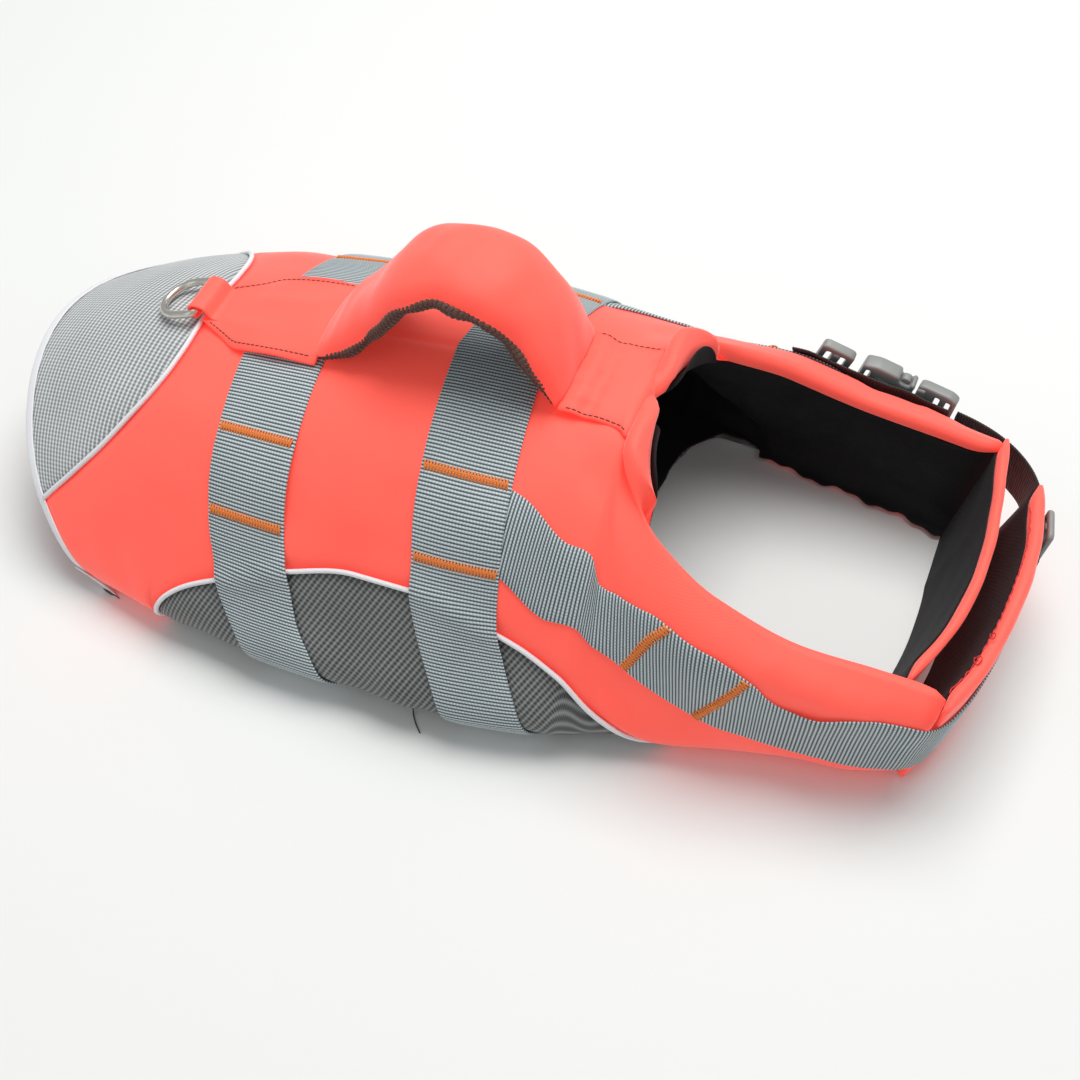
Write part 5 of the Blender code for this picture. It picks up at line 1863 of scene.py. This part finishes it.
@dataclass
class SideReleaseBuckle:
    """A side-release buckle: a socket with open sides, and a plug whose two prongs fill them."""

    wide: float
    thick: float = 8.5

    def socket(self, name: str, long: float, place: Matrix) -> Object:
        """Builds the socket, its mouth towards +X."""
        w, t, x0, x1 = self.wide / 2, self.thick, -long / 2, long / 2
        web = x0 + 6.5
        body = both_halves([(x0, -w * 0.86), (web, -w), (x1 - 9, -w), (x1 - 8, -w + 3.4), (x1 - 3, -w + 3.4),
                            (x1 - 2, -w * 0.94), (x1, -w * 0.88)])
        fitting = Moulding(name)
        slots = [slot_outline(x0 + 3.6, 2.6, w * 0.7)]
        fitting.plate(body, slots, t, 0.0, 1.3)
        ridge = both_halves([(web + 1, -w * 0.62), (x1 - 2.5, -w * 0.5)])
        for height in (t / 2, -t / 2 + 0.01):
            fitting.plate(ridge, (), 0.9, height * 0.97, 0.4)
        for side in (-1, 1):
            tip = [(x1 - 8.2, side * (w - 3.8)), (x1 - 2.8, side * (w - 3.8)), (x1 - 3.4, side * (w - 0.5)),
                   (x1 - 7.4, side * (w - 0.7))]
            fitting.plate(tip if side > 0 else tip[::-1], (), t * 0.55, 0.0, 0.8)
        return fitting.make(place, PLASTIC)

    def plug(self, name: str, long: float, place: Matrix) -> Object:
        """Builds the plug's shoulder and webbing bars, its prongs towards -X."""
        w, t, x0, x1 = self.wide / 2, self.thick, -long / 2, long / 2
        body = both_halves([(x0, -w * 0.9), (x0 + 3, -w * 0.96), (x1 - 4, -w), (x1, -w * 0.9)])
        slots = [slot_outline(x1 - 3.8, 2.4, w * 0.74)]
        if long > 18:
            slots.append(slot_outline(x1 - 9.4, 2.6, w * 0.74))
        fitting = Moulding(name)
        fitting.plate(body, slots, t * 0.74, 0.0, 1.2)
        collar = both_halves([(x0, -w * 0.8), (x0 + 4.5, -w * 0.86)])
        fitting.plate(collar, (), t, 0.0, 1.2)
        return fitting.make(place, PLASTIC)

    def slider(self, name: str, long: float, thick: float, place: Matrix) -> Object:
        """Builds a three-bar slider with a raised middle bar."""
        w, x0, x1 = self.wide / 2, -long / 2, long / 2
        frame = both_halves([(x0, -w * 0.92), (x0 + 2, -w), (x1 - 2, -w), (x1, -w * 0.92)])
        gap = long * 0.22
        slots = [slot_outline(-long * 0.2, gap, w * 0.76), slot_outline(long * 0.2, gap, w * 0.76)]
        fitting = Moulding(name).plate(frame, slots, thick * 0.72, 0.0, min(1.1, thick * 0.3))
        bar = slot_outline(0.0, long * 0.24, w * 0.84)
        fitting.plate(bar, (), thick, 0.0, min(1.1, thick * 0.3))
        return fitting.make(place, PLASTIC)


@dataclass
class BellyBuckles:
    """The two buckles under the belly, where the body straps fasten."""

    form: JacketForm
    wide: float = 44.0
    thick: float = 8.4
    half: float = 25.7
    split: float = -4.0

    def build(self) -> None:
        """Builds both buckles."""
        buckle = SideReleaseBuckle(self.wide, self.thick)
        for label, marks in (("rear_buckle", Seams.rear_strap), ("front_buckle", Seams.front_strap)):
            centre = self.form.at(float(marks(1.0)), 1.0)[0] + DRAWING_SHIFT[0]
            quarter = Matrix.Rotation(math.pi / 2, 4, "Z")
            for kind, low, high in (("socket", -self.half, self.split - 0.2), ("plug", self.split + 0.2,
                                                                               self.half)):
                middle = Matrix.Translation(Vector((centre, (low + high) / 2, self.thick / 2 + 0.05)) * MM)
                name = label + "_" + kind
                maker = buckle.socket if kind == "socket" else buckle.plug
                piece = maker(name + "_moulding", high - low, middle @ quarter)
                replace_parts(piece, name)


@dataclass
class ChestClosure:
    """Dark webbing from the outer flap round the far corner, and the buckle and sliders on the left arm."""

    form: JacketForm
    flap: ChestFlap
    level: float = 0.30
    wide: float = 32.0
    thick: float = 8.5
    half: float = 12.5
    height: float = 46.0
    bridge: tuple[Pair, ...] = ((172, 70), (163, 81), (152, 89), (142, 93.5), (132, 96.5))

    def build_webbing(self) -> None:
        """Builds the strap round the corner and the one under the buckle; the loose end of the flap is not
        built.
        """
        offsets = np.linspace(-self.half, self.half, 9)
        rows = [self.flap.at(np.full(9, share), (self.height + offsets) / self.flap.height, -0.7)
                for share in (0.72, 0.80, 0.87, 0.94, 0.995)]
        rows += [np.stack([np.full(9, x), np.full(9, y), self.height + offsets], 1) for x, y in self.bridge]
        made, outer = Band(1.4, 0.5, 0.1, 1.5).lay("closure_webbing", np.array(rows), DARK_WEBBING)
        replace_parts(made, "closure_strap")
        station = np.arange(128.0, 52.0, -6.0)
        girth = self.form.girth(station)
        level = self.level + offsets[None, :] / girth[:, None]
        spread = np.broadcast_to(station[:, None], level.shape)
        lift = 2.7 + 0.8 * bell(spread - 107.0, 6.0) - 1.2 * np.clip((62 - spread) / 8.0, 0, 1)
        rows = self.form.at(spread, level, lift)[:, ::-1]
        under, face = Band(1.3, 0.5, 0.1, 1.5).lay("closure_arm_webbing", rows, DARK_WEBBING)

    def build_fittings(self) -> None:
        """Builds the plug, the socket and the sliders."""
        buckle = SideReleaseBuckle(self.wide, self.thick)
        turn = Matrix.Rotation(math.pi, 4, "Z")
        place = self.form.frame(119.5, self.level, Side.LEFT, 3.6 + self.thick / 2)
        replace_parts(buckle.plug("closure_plug_moulding", 20.0, place), "closure_plug")
        place = self.form.frame(94.0, self.level, Side.LEFT, 3.6 + self.thick / 2)
        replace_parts(buckle.socket("closure_socket_moulding", 27.0, place), "closure_socket")
        place = self.form.frame(69.5, self.level, Side.LEFT, 3.3 + self.thick / 2)
        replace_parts(buckle.slider("closure_slider_moulding", 17.0, 7.4, place @ turn), "closure_slider")
        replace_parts(buckle.slider("flap_slider_moulding", 18.0, 4.0, self._flap_place(0.87)), "flap_slider")

    def _flap_place(self, share: float) -> Matrix:
        """Place on the outer flap's face with X along it and Z out of it, in metres."""
        centre = self.flap.at(share, self.height / self.flap.height, -4.5)
        ahead = self.flap.at(share + 0.03, self.height / self.flap.height, 0.0)
        behind = self.flap.at(share - 0.03, self.height / self.flap.height, 0.0)
        above = unit(self.flap.at(share, 1.0, 0.0) - self.flap.at(share, 0.0, 0.0))
        along = unit(ahead - behind)
        turn = Matrix([along, above, np.cross(along, above)]).transposed().to_4x4()
        turn.translation = Vector((centre + DRAWING_SHIFT) * MM)
        return turn

    def build(self) -> None:
        """Builds the whole closure."""
        self.build_webbing()
        self.build_fittings()


@dataclass
class LooseThreads:
    """Loose thread ends left by the sewing: red loops at the outer flap, a dark end under the belly."""

    form: JacketForm

    def build(self) -> None:
        """Builds the loose threads."""
        red = Piece("loose_red_threads")
        for share, size in ((0.20, 3.0), (0.31, 2.2)):
            centre = OUTER_FLAP.at(share, 1.0, 5.4)
            turn = np.linspace(-0.6, 5.0, 22)
            loop = centre + np.stack([size * 0.5 * np.sin(turn) - 0.9, size * 0.6 * np.cos(turn),
                                      1.2 + size * 0.35 * np.sin(turn * 1.4)], 1)
            red.tube(loop, 0.28, THREAD_SIDES)
        run = np.linspace(0.05, 0.9, 160)
        line = OUTER_FLAP.at(run, 0.975, 6.6) + np.stack(
            [0.25 * np.sin(run * 160), 0.3 * np.sin(run * 230), 0.5 * np.sin(run * 97)], 1)
        red.tube(line, 0.3, THREAD_SIDES)
        red.make(RED_THREAD)
        dark = Piece("loose_dark_thread")
        start = self.form.at(-70.0, 0.985, 1.0, Side.RIGHT)
        t = np.linspace(0, 1, 16)[:, None]
        path = start + t * np.array([9.0, -13.0, 0.0]) + np.sin(t * 3.0) * np.array([-1.5, 0.0, 0.0])
        path[:, 2] = np.maximum(start[2] * (1 - t[:, 0] * 2.2), 0.35)
        dark.tube(path, 0.3, THREAD_SIDES)
        dark.make(BLACK_THREAD)


# Studio


@dataclass
class Studio:
    """White floor, soft overhead light and the camera."""

    camera_at: Triple = (0.17335, -0.4326, 0.5702)
    right: Triple = (0.9379, 0.3469, 0.0)
    up: Triple = (-0.2707, 0.7319, 0.6252)
    lens: float = 48.33
    sensor: float = 36.0
    floor_half: float = 3.0
    room_colour: Triple = (0.97, 0.99, 1.0)
    room_strength: float = 0.43
    lamps: tuple[tuple[str, Triple, float, float, Triple], ...] = (
        ("overhead", (0.1, 0.55, 1.8), 1.3, 33.0, (1.0, 0.99, 0.97)),
        ("front_fill", (-0.9, -1.3, 1.1), 1.4, 3.0, (1.0, 1.0, 1.0)),
    )

    def lamp(self, name: str, at: Triple, size: float, power: float,
             colour: Triple) -> None:
        """Adds a square area lamp that faces the jacket."""
        light = bpy.data.lights.new(name, "AREA")
        light.size = size
        light.energy = power
        light.color = colour
        lamp = bpy.data.objects.new(name, light)
        lamp.location = at
        lamp.rotation_euler = (-Vector(at)).to_track_quat("-Z", "Y").to_euler()
        bpy.context.scene.collection.objects.link(lamp)

    def build(self) -> None:
        """Builds floor, light and camera."""
        scene = bpy.context.scene
        scene.view_settings.view_transform = "Standard"
        half = self.floor_half
        mesh = bpy.data.meshes.new("floor")
        mesh.from_pydata([(-half, -half, 0), (half, -half, 0), (half, half, 0), (-half, half, 0)], [],
                         [(0, 1, 2, 3)])
        floor = bpy.data.objects.new("floor", mesh)
        mesh.materials.append(BOARD.material())
        scene.collection.objects.link(floor)
        world = bpy.data.worlds.new("soft_room")
        world.use_nodes = True
        background = world.node_tree.nodes["Background"]
        background.inputs["Color"].default_value = (*self.room_colour, 1.0)
        background.inputs["Strength"].default_value = self.room_strength
        scene.world = world
        for name, at, size, power, colour in self.lamps:
            self.lamp(name, at, size, power, colour)
        data = bpy.data.cameras.new("camera")
        data.lens = self.lens
        data.sensor_width = self.sensor
        camera = bpy.data.objects.new("camera", data)
        right, up = Vector(self.right), Vector(self.up)
        turn = Matrix([right, up, right.cross(up)]).transposed().to_4x4()
        turn.translation = Vector(self.camera_at)
        camera.matrix_world = turn
        scene.collection.objects.link(camera)
        scene.camera = camera


def main() -> None:
    """Builds the jacket around its CAD frame, piece by piece."""
    logging.basicConfig(level=logging.INFO, format="%(name)s: %(message)s")
    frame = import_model()
    form = JacketForm()
    panels = BackPanels(form)
    linings = Linings(form, panels)
    belly = BellyPanels(form)
    chest = ChestStraps(form, OUTER_FLAP)
    straps = BodyStraps(form)
    chest_grids: dict[Side, Array] = {}
    for side in Side:
        panels.build(side)
        linings.build(side)
        belly.build(side)
        chest_grids[side] = chest.build(side)[1]
    TailYoke(form).build()
    HemBinding(form).build()
    straps.build("rear_strap", Seams.rear_strap, straps.rear_tacks)
    straps.build("front_strap", Seams.front_strap, straps.front_tacks)
    Tacks(form, straps, chest).build(chest_grids)
    OUTER_FLAP.build(6.0)
    INNER_FLAP.build(10.0)
    Handle(form).build()
    LeashRing(form, frame["joints"][0]).build()
    ChestClosure(form, OUTER_FLAP).build()
    BellyBuckles(form).build()
    LooseThreads(form).build()
    Studio().build()


if __name__ == "__main__":
    main()
